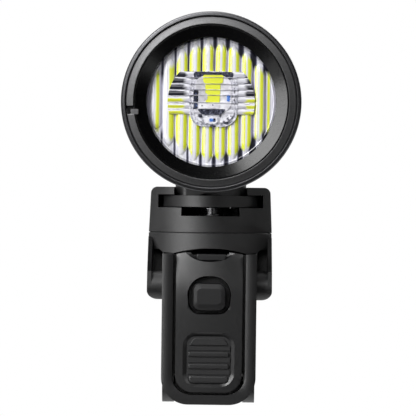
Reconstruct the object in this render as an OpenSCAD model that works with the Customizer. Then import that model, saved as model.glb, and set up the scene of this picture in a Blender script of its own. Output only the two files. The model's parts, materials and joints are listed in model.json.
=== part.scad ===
// Bicycle headlight on a quick-release handlebar clamp, in millimetres.
// The origin is the centre of the handlebar bore. X runs along the bar,
// the lamp shines towards -Y and +Z is up.

/* [Handlebar clamp] */
// Diameter of the handlebar
bar_d = 31.8; // [28:0.1:35]
// Thickness of the rubber pads round the bar
pad_t = 2; // [1.5:0.25:3]
// Thickness of the saddle and jaw bands
band_t = 4; // [3.5:0.25:5]
// Width of the bands along the bar
band_w = 23; // [21:0.5:24]
// Height of the saddle's top slab
slab_t = 4.2; // [3.8:0.1:5]
// Thickness of the saddle above the pad's seat
crown_t = 4.1; // [3.8:0.1:5]
// Thickness of each wing beside the lever
wing_t = 3.25; // [2.5:0.25:4]
// How far the wings hang below the saddle's top
wing_drop = 17.2; // [16:0.2:18]
// Radius of the rear hinge knuckles
knuckle_r = 4; // [3.5:0.1:4.5]
// Radius of the hinge, keeper and lever pins
pin_r = 1.5; // [1.2:0.1:1.8]
// Opening angle of the jaw for each degree of the lever
jaw_ratio = 0.4; // [0.35:0.01:0.45]

/* [Lever] */
// Width of the lever
lever_w = 24.3; // [23:0.1:26]
// Thickness of the lever's rails
rail_t = 5.2; // [4.8:0.1:5.2]
// Width of each rail
rail_w = 2.8; // [2.6:0.1:3.6]
// Corner radius at the lever's lower end
lever_corner_r = 7; // [5:0.5:8]
// Radius of the jaw's ears round the lever pin
ear_r = 5.3; // [4.5:0.1:5.5]
// Width of the release button
release_w = 8.5; // [7:0.25:9.5]
// Height of the release button
release_h = 7.1; // [6:0.1:7.5]
// Travel of the release button
release_travel = 1.2; // [0.8:0.1:1.4]
// Width of the thumb grip
grip_w = 14.4; // [12:0.2:14.6]
// Height of the thumb grip
grip_h = 14.6; // [13:0.2:15]

/* [Dock] */
// Width of the dock
dock_w = 31.2; // [30.6:0.2:33]
// Length of the dock
dock_len = 40; // [38:0.5:44]
// Thickness of the dock's floor
dock_floor_t = 4; // [3.5:0.1:5]
// Height of the slot under the foot
slot_h = 2.4; // [2.3:0.1:3]
// Radius of the dock's bowed front
bow_r = 20.5; // [18:0.5:24]
// Width of the slot under the foot
slot_w = 15.2; // [13:0.2:16]
// Thickness of the rail lips over the foot
lip_t = 2; // [1.6:0.1:2.6]
// Gap between dock and saddle
swivel_gap = 0.4; // [0.3:0.05:0.6]

/* [Foot] */
// Width of the foot plate
foot_w = 27; // [25:0.2:27.4]
// Thickness of the foot plate
foot_t = 2.9; // [2.6:0.1:3.4]
// Width of the neck
neck_w = 18.6; // [16:0.2:20]
// Height of the neck between plate and lamp
neck_h = 8.75; // [8.5:0.25:12]

/* [Lamp] */
// Diameter of the head's rim
head_d = 45; // [45:0.5:52]
// Diameter of the battery tube
body_d = 29.5; // [29:0.5:33]
// Diameter of the lens that shows, as a share of the rim's
lens_share = 0.72; // [0.66:0.01:0.74]
// Depth of the lens behind the rim
lens_depth = 3; // [2.6:0.2:4]
// Length of the head
head_len = 36; // [36:0.5:42]
// How far the head reaches in front of the dock
head_reach = 33; // [33:0.5:40]
// Diameter of the battery cell
cell_d = 21.2; // [20.6:0.1:21.6]
// Length of the battery cell
cell_len = 70; // [66:0.5:74]
// Number of cooling grooves round the head
groove_count = 4; // [3:1:5]
// Number of flutes across the lens
flute_count = 10; // [8:1:12]
// Diameter of the power button
power_d = 9.8; // [8:0.2:10.4]

/* [Fits] */
// Sliding gap between the foot and the dock
slide_gap = 0.25; // [0.2:0.05:0.35]
// Gap round the lever and between opening pieces
swing_gap = 0.3; // [0.25:0.05:0.4]
// Radial clearance of a pin that turns in a bore
running_gap = 0.05; // [0.03:0.01:0.08]
// Gap between pieces that are fixed together
seat_gap = 0.02; // [0.01:0.01:0.04]

/* [Hidden] */
$fn = 64;
eps = 0.01;

// Clamp, in the Y-Z plane
bar_r = bar_d / 2;
seat_r = bar_r + pad_t;
band_r = seat_r + band_t;
saddle_top = seat_r + crown_t;
slab_z = saddle_top - slab_t;
wing_z = saddle_top - wing_drop;
hinge_y = seat_r + knuckle_r + 0.6;
hinge_z = 6;
hinge_span = 6;
pin_y = -seat_r - 3.6;
pin_z = 1.4 - seat_r;
keeper_y = -band_r - 1.1;
wing_boss_r = 3.7;
keeper_z = wing_z + wing_boss_r;
saddle_front = keeper_y - 3;
saddle_rear = seat_r + 1.1;
wing_front = keeper_y + 1.5;
wing_rear = -seat_r + 3;
wing_x = lever_w / 2 + slide_gap;
saddle_w = 2 * (wing_x + wing_t);
wing_corner_r = 2.4;
web_z = slab_z - 4;
skin_t = 0.9;
arch_r = 45;
tooth_x = 9.4;
tooth_z = slab_z - arch_r + sqrt(arch_r ^ 2 - tooth_x ^ 2);
visor_step_z = tooth_z + 0.2;
visor_side_z = saddle_top - 2.3;
jaw_rear_z = 1.5;
jaw_front_z = -4.6;
band_split = 0.5;
pad_w = band_w - 1;

// Lever
lever_front = pin_y - 8.5;
lever_top = slab_z - 0.3;
rail_top = lever_top - 0.8;
lever_bottom = pin_z - ear_r - 0.1;
barrel_r = 4.4;
groove_w = 0.8;
panel_w = lever_w - 2 * rail_w - 2 * groove_w;
ear_in = panel_w / 2 + swing_gap;
ear_t = band_w / 2 - ear_in;
panel_bottom = lever_bottom + 2.6;
panel_t = 3.4;
plate_front = lever_front + panel_t + seat_gap;
plate_t = 1.3;
panel_corner_r = 4.4;
release_z = keeper_z - 2.65;
grip_z = lever_bottom + 11.6;
grip_depth = 1.4;
rib_count = 4;
rib_pitch = 3.18;
rib_w = 10.4;
rib_h = 1.7;
rib_rise = 1;
hook_in = 4.5;
hook_w = 3;
hook_len = 3.9;
hook_t = 2.4;
hook_reach = keeper_y + 1.8;
scoop_w = 11.8;
scoop_h = 2.4;
scoop_depth = 1.8;
tab_w = 8.2;

// Direction in which the keeper pin leaves the hook as lever and jaw open
leave_y = (keeper_z - pin_z) + jaw_ratio * (keeper_z - hinge_z);
leave_z = -(keeper_y - pin_y) - jaw_ratio * (keeper_y - hinge_y);
hook_slope = atan2(leave_z, leave_y) + 1;

// Dock and foot
dock_z = saddle_top + swivel_gap;
dock_front = -19;
dock_rear = dock_front + dock_len;
slot_z = dock_z + dock_floor_t;
foot_z = slot_z + slot_h;
foot_top = foot_z + foot_t;
lip_z = foot_top + slide_gap;
dock_top = lip_z + lip_t;
foot_front = dock_front - 1;
foot_rear = dock_rear - 3.5;
dock_corner_r = 3;
dock_edge_r = 1.6;
screw_r = 1.5;
head_r_m3 = 2.75;
head_h_m3 = 1.7;
washer_r = 4;
washer_t = 0.4;
nut_r = 3.2;
nut_h = 2.6;
pivot_r = 6;
ring_r = dock_w / 2 - slide_gap;
latch_w = 10;
latch_t = 1.2;
latch_hole_w = latch_w + 2 * slide_gap;
latch_y = washer_r + 0.7;
latch_z = slot_z + 0.3;
latch_root = 2.6;
latch_tab = 5;
tooth_y = foot_rear - 4.6;
tooth_len = 2;
tooth_h = 0.9;
latch_room = 3;
latch_screw_r = 0.9;
latch_screw_y = latch_y + latch_root / 2;

// Lamp, measured along its axis from the rim
head_r = head_d / 2;
body_r = body_d / 2;
lens_r = lens_share * head_r;
lamp_z = foot_top + neck_h + body_r;
lamp_y = dock_front - head_reach;
neck_front = lamp_y + head_len + 1;
neck_rear = foot_rear - 3;
rim_t = 1.1;
ring_w = 2;
ring_out_r = head_r - rim_t;
ring_in_r = ring_out_r - ring_w;
ring_front = 0.15;
ring_fall = 0.35;
rim_fall = 0.15;
shield_front = 0.6;
flange_r = lens_r + 1.2;
lens_t = 3;
gasket_t = 1;
rear_room = 13;
lens_back = lens_depth + seat_gap + lens_t;
bowl_front = lens_back + seat_gap + gasket_t;
bowl_back = head_len - rear_room;
bowl_wall = 1;
led_hole_r = 4.5;
board_r = 10.2;
board_t = 1.6;
board_s = bowl_back + 1.2;
web_s = board_s + board_t + seat_gap;
web_t = 3.2;
cavity_s = web_s + web_t;
cell_r = cell_d / 2;
tube_r = cell_r + 0.45;
spigot_r = tube_r + 1.5;
spigot_len = 8;
foot_screw_ys = [lamp_y + head_len + spigot_len + 3, neck_rear - 5];
cell_s = head_len + 0.5;
cell_end = cell_s + cell_len;
tail_board_s = cell_end + 2.5;
tail_board_t = 1.2;
tail_wall_s = tail_board_s + tail_board_t + seat_gap;
port_len = 6;
cover_t = 1.7;
tail_end = tail_wall_s + port_len + cover_t + 0.1;
tail_s = cell_end - 6.5;
seal_r = 0.42;
fin_depth = 1.7;
fin_w = 1.6;
fin_pitch = 3.6;
fin_s = 15.5;
shoulder_s = 10;
collar_r = body_r + 1.2;
wire_r = 0.6;
wire_x = 4;
notch_h = 2;
notch_z = -2.3;

// Power button, port and cover
boss_w = 16;
boss_len = 24;
boss_y = lamp_y + head_len + 24;
boss_top = lamp_z + body_r + 2.25;
power_r = power_d / 2;
power_travel = 0.8;
pocket_r = power_r + 1.1;
pocket_z = lamp_z + tube_r + 1.25;
switch_h = 1.3;
flange_t = 0.5;
flange_z = pocket_z + switch_h + power_travel + 0.4;
surround_z = flange_z + flange_t + 0.1;
port_w = 8.9;
port_h = 3.2;
port_wall = 0.35;
cover_w = 14.6;
cover_h = 7.6;
cover_barrel_r = 1.1;
cover_y = lamp_y + tail_end - cover_t;
cover_hinge_y = lamp_y + tail_end + cover_barrel_r + 0.2;
cover_hinge_z = lamp_z - cover_h / 2 - 1.5;
cover_barrel_w = 6;
stub_r = 0.6;
stub_len = 1.6;
lug_r = 1.3;

// Solid of an outline in Y and Z, drawn across X
module across(width, x = 0)
  translate([x, 0, 0]) rotate([90, 0, 90]) linear_extrude(width, center = true) children();

// Solid of an outline in X and Z, from the plane y to y + depth
module upright(y, depth)
  translate([0, y + depth, 0]) rotate([90, 0, 0]) linear_extrude(depth) children();

// Rod along X through a point in Y and Z
module rod_x(r, len, y, z, x = 0)
  translate([x, y, z]) rotate([0, 90, 0]) cylinder(h = len, r = r, center = true);

// Turned solid round the lamp's axis, from [radius, distance behind the rim]
module turned(points)
  translate([0, lamp_y, lamp_z]) rotate([-90, 0, 0]) rotate_extrude() polygon(points);

// Ring round the lamp's axis
module lamp_ring(r_out, r_in, s0, s1)
  turned([[r_in, s0], [r_out, s0], [r_out, s1], [r_in, s1]]);

// Disc round the lamp's axis
module lamp_disc(r, s0, s1)
  translate([0, lamp_y + s0, lamp_z]) rotate([-90, 0, 0]) cylinder(h = s1 - s0, r = r);

// Round sealing ring on the lamp's axis
module lamp_o_ring(r, s)
  translate([0, lamp_y + s, lamp_z]) rotate([-90, 0, 0]) rotate_extrude() translate([r, 0]) circle(seal_r);

// Rectangle with round corners, centred
module rounded(w, h, r) {
  square([w - 2 * r, h], center = true);
  square([w, h - 2 * r], center = true);
  for (x = [-1, 1], y = [-1, 1])
    translate([x * (w / 2 - r), y * (h / 2 - r)]) circle(r);
}

// Plan with a bowed front and round corners, from front to rear
module bowed(w, front, rear, bow_r, corner)
  intersection() {
    translate([0, (front + rear) / 2]) rounded(w, rear - front, corner);
    union() {
      translate([0, front + bow_r]) circle(bow_r);
      translate([-w / 2, front + bow_r]) square([w, rear - front]);
    }
  }

// Rectangle whose two lower corners are round, from its top edge down
module round_bottom(w, top, bottom, r) {
  translate([-w / 2, bottom + r]) square([w, top - bottom - r]);
  translate([-w / 2 + r, bottom]) square([w - 2 * r, r + eps]);
  for (x = [-1, 1])
    translate([x * (w / 2 - r), bottom + r]) circle(r);
}

// Rectangle whose two upper corners are round, from its bottom edge up
module round_top(w, bottom, top, r)
  translate([0, bottom + top]) rotate(180) round_bottom(w, top, bottom, r);

// Half ring round the bar that keeps what lies above or below a height on each side
module bar_band(r_out, r_in, width, rear_z, front_z, above) {
  far = 2 * band_r;
  across(width)
    difference() {
      circle(r_out);
      circle(r_in);
      translate([0, above ? rear_z - far : rear_z]) square([far, far]);
      translate([-far, above ? front_z - far : front_z]) square([far, far]);
    }
}

// Head

// Radius of the head's taper at a distance behind the rim
function taper_r(s) = head_r - (head_r - collar_r) * (s - shoulder_s) / (head_len - 4 - shoulder_s);

// Four corners of one cooling groove
function groove_points(s) = [
  [taper_r(s), s],
  [taper_r(s) - fin_depth, s],
  [taper_r(s) - fin_depth, s + fin_w],
  [taper_r(s + fin_w), s + fin_w]
];

module head_housing() {
  lip = 0.5;
  grooves = [for (i = [0 : groove_count - 1]) each groove_points(fin_s + i * fin_pitch)];
  outside = concat(
    [[ring_out_r, 0], [head_r - lip / 2, rim_fall], [head_r, lip], [head_r, shoulder_s]],
    grooves,
    [[collar_r, head_len - 4], [collar_r, head_len - lip], [collar_r - lip, head_len]],
    [[spigot_r, head_len], [spigot_r, head_len + 4.6], [spigot_r - 2 * seal_r, head_len + 4.6]],
    [[spigot_r - 2 * seal_r, head_len + 6.4], [spigot_r, head_len + 6.4], [spigot_r, head_len + spigot_len]]
  );
  rear = [[tube_r, head_len + spigot_len], [tube_r, cavity_s], [0, cavity_s]];
  front = [
    [0, web_s], [board_r + 0.3, web_s], [board_r + 0.3, bowl_back],
    [lens_r, bowl_front], [flange_r + seat_gap, bowl_front], [flange_r + seat_gap, lens_depth + seat_gap],
    [ring_out_r, lens_depth + seat_gap]
  ];
  color([0.2, 0.2, 0.21])
    difference() {
      turned(concat(outside, rear, front));
      for (x = [-wire_x, wire_x])
        translate([x, 0, 0]) lamp_disc(wire_r + 0.1, web_s - 1, cavity_s + 1);
    }
}

// Cut through the left of the ring for the shield's key
module key_notch(gap)
  translate([-ring_out_r, lamp_y + shield_front - 1, lamp_z + notch_z - notch_h / 2 - gap])
    cube([ring_out_r - ring_in_r + 1, 3 + gap, notch_h + 2 * gap]);

module bezel_ring() {
  chamfer = 0.3;
  color([0.3, 0.3, 0.31])
    difference() {
      turned([
        [ring_in_r, ring_front], [ring_out_r - seat_gap - chamfer, ring_front + ring_fall],
        [ring_out_r - seat_gap, ring_front + ring_fall + chamfer], [ring_out_r - seat_gap, lens_depth],
        [ring_in_r, lens_depth]
      ]);
      key_notch(0);
    }
}

module light_shield() {
  edge = 0.4;
  slope = 25;
  out_r = ring_in_r - seat_gap;
  cone_back = shield_front + (out_r - edge - lens_r) * tan(slope);
  color([0.07, 0.07, 0.08]) {
    turned([
      [lens_r, lens_depth], [lens_r, cone_back], [out_r - edge, shield_front], [out_r, shield_front],
      [out_r, lens_depth]
    ]);
    intersection() {
      translate([0, seat_gap, 0]) key_notch(-seat_gap - 0.1);
      lamp_ring(ring_out_r - 0.5, out_r - edge, shield_front + 0.4, lens_depth);
    }
  }
}

module front_lens() {
  flute_pitch = 2 * (lens_r - seat_gap) / flute_count;
  web = 1.2;
  pill_r = 5.6;
  pill_half = 5;
  color([0.85, 0.88, 0.9, 0.5]) {
    lamp_disc(flange_r, lens_depth + seat_gap, lens_depth + seat_gap + web);
    lamp_ring(flange_r, lens_r, lens_depth + seat_gap + web - eps, lens_back);
    intersection() {
      lamp_disc(lens_r - 0.3, lens_depth + seat_gap + web - eps, lens_back);
      for (i = [0 : flute_count - 1])
        translate([(i - (flute_count - 1) / 2) * flute_pitch, lamp_y + lens_depth + web, lamp_z])
          cylinder(h = head_d, r = flute_pitch / 2 - 0.1, center = true);
    }
    upright(lamp_y + lens_depth - 0.8, 1)
      translate([0, lamp_z + 1.6]) rounded(2 * (pill_half + pill_r), 2 * pill_r, pill_r - eps);
  }
}

module lens_gasket()
  color([0.1, 0.1, 0.1]) lamp_ring(flange_r, lens_r, lens_back + seat_gap, bowl_front);

module reflector() {
  back_r = board_r + 0.3;
  gap = 0.3;
  color([0.85, 0.85, 0.87])
    turned([
      [lens_r - gap, bowl_front], [back_r - gap, bowl_back], [led_hole_r, bowl_back],
      [led_hole_r, bowl_back - bowl_wall], [back_r - gap - bowl_wall, bowl_back - bowl_wall],
      [lens_r - gap - bowl_wall, bowl_front]
    ]);
}

module led_chip() {
  base = 5;
  emitter = 3.4;
  base_h = 0.7;
  emitter_h = 0.4;
  front = lamp_y + board_s;
  color([0.95, 0.9, 0.2]) {
    upright(front - base_h, base_h) translate([0, lamp_z]) square(base, center = true);
    upright(front - base_h - emitter_h, emitter_h + eps)
      translate([0, lamp_z]) rounded(emitter, emitter, 0.5);
  }
}

module led_board()
  color([0.9, 0.9, 0.88])
    difference() {
      lamp_disc(board_r, board_s + seat_gap / 2, board_s + board_t);
      for (x = [-wire_x, wire_x])
        translate([x, 0, 0]) lamp_disc(wire_r + 0.1, board_s - 1, web_s + 1);
    }

module led_wires()
  color([0.75, 0.1, 0.1])
    for (x = [-wire_x, wire_x])
      translate([x, 0, 0]) lamp_disc(wire_r, board_s + 0.4, cavity_s + 0.1);

module driver_board() {
  coil_r = 2.6;
  part_h = 2.2;
  board_front = cavity_s + 0.15;
  color([0.1, 0.4, 0.2]) {
    lamp_disc(tube_r - 0.1, board_front, board_front + board_t);
    for (z = [-6, 6])
      translate([0, 0, z]) lamp_disc(coil_r, board_front + board_t - eps, board_front + board_t + part_h);
  }
}

module driver_retainer()
  color([0.7, 0.6, 0.3])
    lamp_ring(tube_r - 0.03, tube_r - 1.4, cavity_s + board_t + 0.17, cavity_s + board_t + 2.2);

module front_contact_spring() {
  wire = 0.6;
  foot_r = 2.6;
  tip_r = 1.6;
  s0 = cavity_s + board_t + 0.17;
  s1 = cell_s - seat_gap;
  color([0.8, 0.7, 0.4])
    turned([[foot_r - wire, s0], [foot_r, s0], [tip_r, s1], [tip_r - wire, s1]]);
}

// Seals, tube and tail

module head_seal()
  color([0.1, 0.1, 0.1]) lamp_o_ring(spigot_r - seal_r + seat_gap / 2, head_len + 5.5);

module tail_seal()
  color([0.1, 0.1, 0.1]) lamp_o_ring(spigot_r - seal_r + seat_gap / 2, tail_s - 5.5);

module battery_tube() {
  counter_r = spigot_r + 2 * seat_gap;
  end = spigot_len + 0.2;
  color([0.16, 0.16, 0.17])
    difference() {
      union() {
        lamp_disc(body_r, head_len + seat_gap, tail_s - seat_gap);
        translate([0, boss_y, lamp_z])
          linear_extrude(boss_top - lamp_z) rounded(boss_w, boss_len, boss_w / 2 - 1);
      }
      lamp_disc(tube_r, head_len - 1, tail_s + 1);
      lamp_disc(counter_r, head_len - 1, head_len + end);
      lamp_disc(counter_r, tail_s - end, tail_s + 1);
      translate([0, boss_y, pocket_z]) cylinder(h = head_r, r = pocket_r);
      foot_screw_holes(screw_r + seat_gap);
    }
}

module battery_cell() {
  cap_r = 4;
  cap_h = 1;
  color([0.2, 0.4, 0.7]) {
    lamp_disc(cell_r, cell_s + cap_h, cell_end);
    lamp_disc(cap_r, cell_s, cell_s + cap_h + eps);
  }
}

module rear_contact_spring() {
  wire = 0.6;
  foot_r = 4.6;
  tip_r = 3;
  color([0.8, 0.7, 0.4])
    turned([
      [tip_r - wire, cell_end + seat_gap], [tip_r, cell_end + seat_gap],
      [foot_r, tail_board_s - seat_gap], [foot_r - wire, tail_board_s - seat_gap]
    ]);
}

module tail_board()
  color([0.1, 0.4, 0.2]) lamp_disc(tube_r - 0.1, tail_board_s, tail_board_s + tail_board_t);

module tail_cap() {
  edge = 1;
  grip = 0.6;
  grip_w_tail = 1.4;
  groove_floor = spigot_r - 2 * seal_r;
  grooves = [for (i = [0 : 2]) let (s = tail_s + 3 + 3 * i) each [
    [body_r, s], [body_r - grip, s + grip], [body_r - grip, s + grip_w_tail], [body_r, s + grip_w_tail + grip]
  ]];
  lug_x = cover_barrel_w / 2 + 0.2 + stub_len / 2;
  color([0.14, 0.14, 0.15])
    difference() {
      union() {
        turned(concat(
          [[tube_r, tail_s - spigot_len], [spigot_r, tail_s - spigot_len], [spigot_r, tail_s - 6.4]],
          [[groove_floor, tail_s - 6.4], [groove_floor, tail_s - 4.6], [spigot_r, tail_s - 4.6]],
          [[spigot_r, tail_s], [body_r, tail_s]],
          grooves,
          [[body_r, tail_end - edge], [body_r - edge, tail_end], [0, tail_end]],
          [[0, tail_wall_s], [tube_r, tail_wall_s]]
        ));
        for (x = [-lug_x, lug_x])
          across(stub_len, x) {
            translate([cover_hinge_y, cover_hinge_z]) circle(lug_r);
            translate([cover_hinge_y - 2, cover_hinge_z - lug_r]) square([2, 2 * lug_r]);
          }
      }
      upright(lamp_y + tail_wall_s - 1, head_r)
        translate([0, lamp_z]) rounded(port_w + 2 * seat_gap, port_h + 2 * seat_gap, port_h / 2);
      upright(cover_y - 0.1, head_r)
        translate([0, lamp_z]) rounded(cover_w + 0.4, cover_h + 0.4, 1.5);
      rod_x(stub_r + running_gap, cover_w, cover_hinge_y, cover_hinge_z);
    }
}

module usb_port() {
  tongue_h = 0.7;
  tongue_w = 6.6;
  y0 = lamp_y + tail_wall_s;
  color([0.75, 0.75, 0.77]) {
    difference() {
      upright(y0, port_len - 0.1) translate([0, lamp_z]) rounded(port_w, port_h, port_h / 2 - eps);
      upright(y0 + 0.8, port_len)
        translate([0, lamp_z])
          rounded(port_w - 2 * port_wall, port_h - 2 * port_wall, port_h / 2 - port_wall - eps);
    }
    upright(y0 + 0.7, port_len - 1.6) translate([0, lamp_z]) square([tongue_w, tongue_h], center = true);
  }
}

module port_cover() {
  corner = 1.3;
  strap_t = 0.8;
  color([0.12, 0.12, 0.12]) {
    upright(cover_y, cover_t + 0.3) translate([0, lamp_z]) rounded(cover_w, cover_h, corner);
    rod_x(cover_barrel_r, cover_barrel_w, cover_hinge_y, cover_hinge_z);
    rod_x(stub_r, cover_barrel_w + 0.4 + 2 * stub_len - 0.2, cover_hinge_y, cover_hinge_z);
    upright(cover_y + cover_t + 0.1, strap_t)
      translate([-cover_barrel_w / 2, cover_hinge_z]) square([cover_barrel_w, lamp_z - cover_hinge_z]);
  }
}

// Power button

module power_button() {
  stem_r = 1.2;
  color([0.15, 0.15, 0.15])
    translate([0, boss_y, 0]) {
      translate([0, 0, flange_z]) cylinder(h = flange_t, r = pocket_r - 0.25);
      translate([0, 0, flange_z]) cylinder(h = boss_top + 1.2 - flange_z, r = power_r);
      translate([0, 0, flange_z - 0.2]) cylinder(h = 0.3, r = stem_r);
    }
}

module button_surround() {
  lip_r = pocket_r + 1;
  lip_h = 0.5;
  color([0.3, 0.3, 0.31])
    translate([0, boss_y, 0])
      difference() {
        union() {
          translate([0, 0, surround_z]) cylinder(h = boss_top - surround_z, r = pocket_r - seat_gap);
          translate([0, 0, boss_top]) cylinder(h = lip_h, r = lip_r);
        }
        translate([0, 0, surround_z - 1]) cylinder(h = head_r, r = power_r + 0.2);
      }
}

module tact_switch() {
  side = 6;
  color([0.6, 0.6, 0.6])
    translate([-side / 2, boss_y - side / 2, pocket_z]) cube([side, side, switch_h]);
}

// Foot

module foot_screw_holes(r)
  for (y = foot_screw_ys)
    translate([0, y, foot_z]) cylinder(h = lamp_z - tube_r - 1.1 - foot_z, r = r);

// Small arch in the front of the neck, where it meets the plate
module base_arch() {
  w = 5.7;
  h = 0.8;
  intersection() {
    translate([0, foot_top]) scale([w / 2, h]) circle(1);
    translate([-w / 2, foot_top]) square([w, h]);
  }
}

module foot() {
  corner = 2.6;
  arch_depth = 2;
  front_r = bow_r + dock_front - foot_front;
  neck_len = neck_rear - neck_front;
  color([0.12, 0.12, 0.13])
    difference() {
      union() {
        translate([0, 0, foot_z])
          linear_extrude(foot_t) bowed(foot_w, foot_front, foot_rear, front_r, corner);
        translate([0, (neck_front + neck_rear) / 2, foot_top - eps])
          linear_extrude(lamp_z - foot_top) rounded(neck_w, neck_len, 3);
      }
      lamp_disc(body_r + seat_gap, 0, tail_end);
      upright(neck_front - eps, arch_depth) base_arch();
      foot_screw_holes(screw_r + seat_gap);
      for (y = foot_screw_ys)
        translate([0, y, foot_z - 1]) cylinder(h = head_h_m3 + 1.3, r = head_r_m3 + 0.2);
      translate([-latch_w / 2 - swing_gap, tooth_y - swing_gap, foot_z - 1])
        cube([latch_w + 2 * swing_gap, tooth_len + 2 * swing_gap, tooth_h + swing_gap + 1]);
    }
}

module foot_screws()
  color([0.6, 0.6, 0.62])
    for (y = foot_screw_ys)
      translate([0, y, foot_z + 0.3 - seat_gap]) {
        cylinder(h = head_h_m3, r = head_r_m3);
        cylinder(h = lamp_z - tube_r - 1.3 - foot_z - 0.3, r = screw_r);
      }

// Dock, latch and swivel

module dock() {
  wall_h = dock_top - dock_z;
  tunnel_w = foot_w + 2 * slide_gap;
  far = dock_len;
  latch_end = latch_y + latch_root;
  color([0.1, 0.1, 0.11])
    difference() {
      intersection() {
        translate([0, 0, dock_z])
          linear_extrude(wall_h) bowed(dock_w, dock_front, dock_rear, bow_r, dock_corner_r);
        upright(dock_front - 1, dock_len + 2) round_top(dock_w, dock_z, dock_top, dock_edge_r);
      }
      translate([-tunnel_w / 2, dock_front - far, foot_z - slide_gap])
        cube([tunnel_w, far + dock_len - 3.5 + slide_gap, foot_t + 2 * slide_gap]);
      translate([-neck_w / 2 - slide_gap, dock_front - far, foot_top])
        cube([neck_w + 2 * slide_gap, far + neck_rear - dock_front + slide_gap, far]);
      translate([-slot_w / 2, dock_front - 1, slot_z]) cube([slot_w, latch_end - dock_front + 1, slot_h]);
      translate([-latch_hole_w / 2, 0, slot_z]) cube([latch_hole_w, dock_rear + 1, slot_h]);
      translate([-latch_hole_w / 2, latch_end, slot_z - latch_room])
        cube([latch_hole_w, dock_len, latch_room + slot_h]);
      translate([0, 0, dock_z - 1]) cylinder(h = dock_floor_t + 2, r = screw_r + running_gap);
      translate([0, latch_screw_y, dock_z + 1]) cylinder(h = dock_floor_t, r = latch_screw_r + seat_gap);
    }
}

module latch() {
  tab_h = 3;
  tongue_len = dock_rear + latch_tab - latch_y;
  color([0.15, 0.15, 0.16])
    difference() {
      union() {
        translate([slide_gap - slot_w / 2, latch_y, slot_z + seat_gap])
          cube([slot_w - 2 * slide_gap, latch_root - slide_gap, slot_h - 2 * slide_gap - seat_gap]);
        translate([-latch_w / 2, latch_y, latch_z]) cube([latch_w, tongue_len, latch_t]);
        translate([-latch_w / 2, tooth_y, latch_z]) cube([latch_w, tooth_len, foot_z + tooth_h - latch_z]);
        translate([-latch_w / 2, dock_rear + 0.5, latch_z + latch_t - tab_h])
          cube([latch_w, latch_tab - 0.5, tab_h]);
      }
      translate([0, latch_screw_y, slot_z - 1]) cylinder(h = 2 * slot_h, r = latch_screw_r + seat_gap);
      translate([0, latch_screw_y, latch_z + latch_t]) cylinder(h = slot_h, r = latch_root / 2 + slide_gap);
    }
}

module latch_screw() {
  head_h = 0.5;
  tip_z = dock_z + 1.2;
  color([0.7, 0.7, 0.72])
    translate([0, latch_screw_y, 0]) {
      translate([0, 0, tip_z]) cylinder(h = latch_z + latch_t + seat_gap - tip_z, r = latch_screw_r);
      translate([0, 0, latch_z + latch_t + seat_gap / 2]) cylinder(h = head_h, r = latch_root / 2);
    }
}

module swivel_washer()
  color([0.75, 0.75, 0.77])
    translate([0, 0, slot_z + seat_gap])
      difference() {
        cylinder(h = washer_t, r = washer_r);
        translate([0, 0, -1]) cylinder(h = washer_t + 2, r = screw_r + seat_gap);
      }

module swivel_screw() {
  head_z = slot_z + 2 * seat_gap + washer_t;
  tip_z = saddle_top - 0.6 - nut_h;
  socket_r = 1.3;
  color([0.75, 0.75, 0.77])
    difference() {
      union() {
        translate([0, 0, head_z]) cylinder(h = head_h_m3 - 0.1, r = head_r_m3);
        translate([0, 0, tip_z]) cylinder(h = head_z - tip_z + eps, r = screw_r);
      }
      translate([0, 0, head_z + 0.6]) cylinder(h = head_h_m3, r = socket_r, $fn = 6);
    }
}

module friction_ring()
  color([0.2, 0.2, 0.2])
    translate([0, 0, saddle_top])
      difference() {
        cylinder(h = swivel_gap - 0.05, r = ring_r);
        translate([0, 0, -1]) cylinder(h = swivel_gap + 2, r = pivot_r);
      }

module swivel_nut()
  color([0.7, 0.7, 0.72])
    translate([0, 0, saddle_top - 0.6 - nut_h])
      difference() {
        cylinder(h = nut_h, r = nut_r, $fn = 6);
        translate([0, 0, -1]) cylinder(h = nut_h + 2, r = screw_r + seat_gap);
      }

// Clamp

// Outline of a wing in Y and Z, with a boss round the keeper pin
module wing_outline() {
  translate([keeper_y, keeper_z]) circle(wing_boss_r);
  translate([wing_front, keeper_z]) square([wing_rear - wing_front, slab_z + slab_t / 2 - keeper_z]);
}

// Thin outer skin of a wing, which leads from the visor to the keeper pin's boss
module skin_outline()
  polygon([
    [wing_front, saddle_top - 1], [wing_rear, saddle_top - 1], [wing_rear, keeper_z],
    [keeper_y - wing_boss_r, keeper_z], [keeper_y - wing_boss_r, keeper_z + wing_boss_r]
  ]);

// Front of the saddle, arched over the lever's panel and cut back above the wings
module visor_outline()
  difference() {
    polygon([
      [-saddle_w / 2, saddle_top], [-saddle_w / 2, visor_side_z], [-lever_w / 2, visor_step_z],
      [-tooth_x, tooth_z], [tooth_x, tooth_z], [lever_w / 2, visor_step_z],
      [saddle_w / 2, visor_side_z], [saddle_w / 2, saddle_top]
    ]);
    translate([0, slab_z - arch_r]) circle(arch_r);
  }

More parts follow.
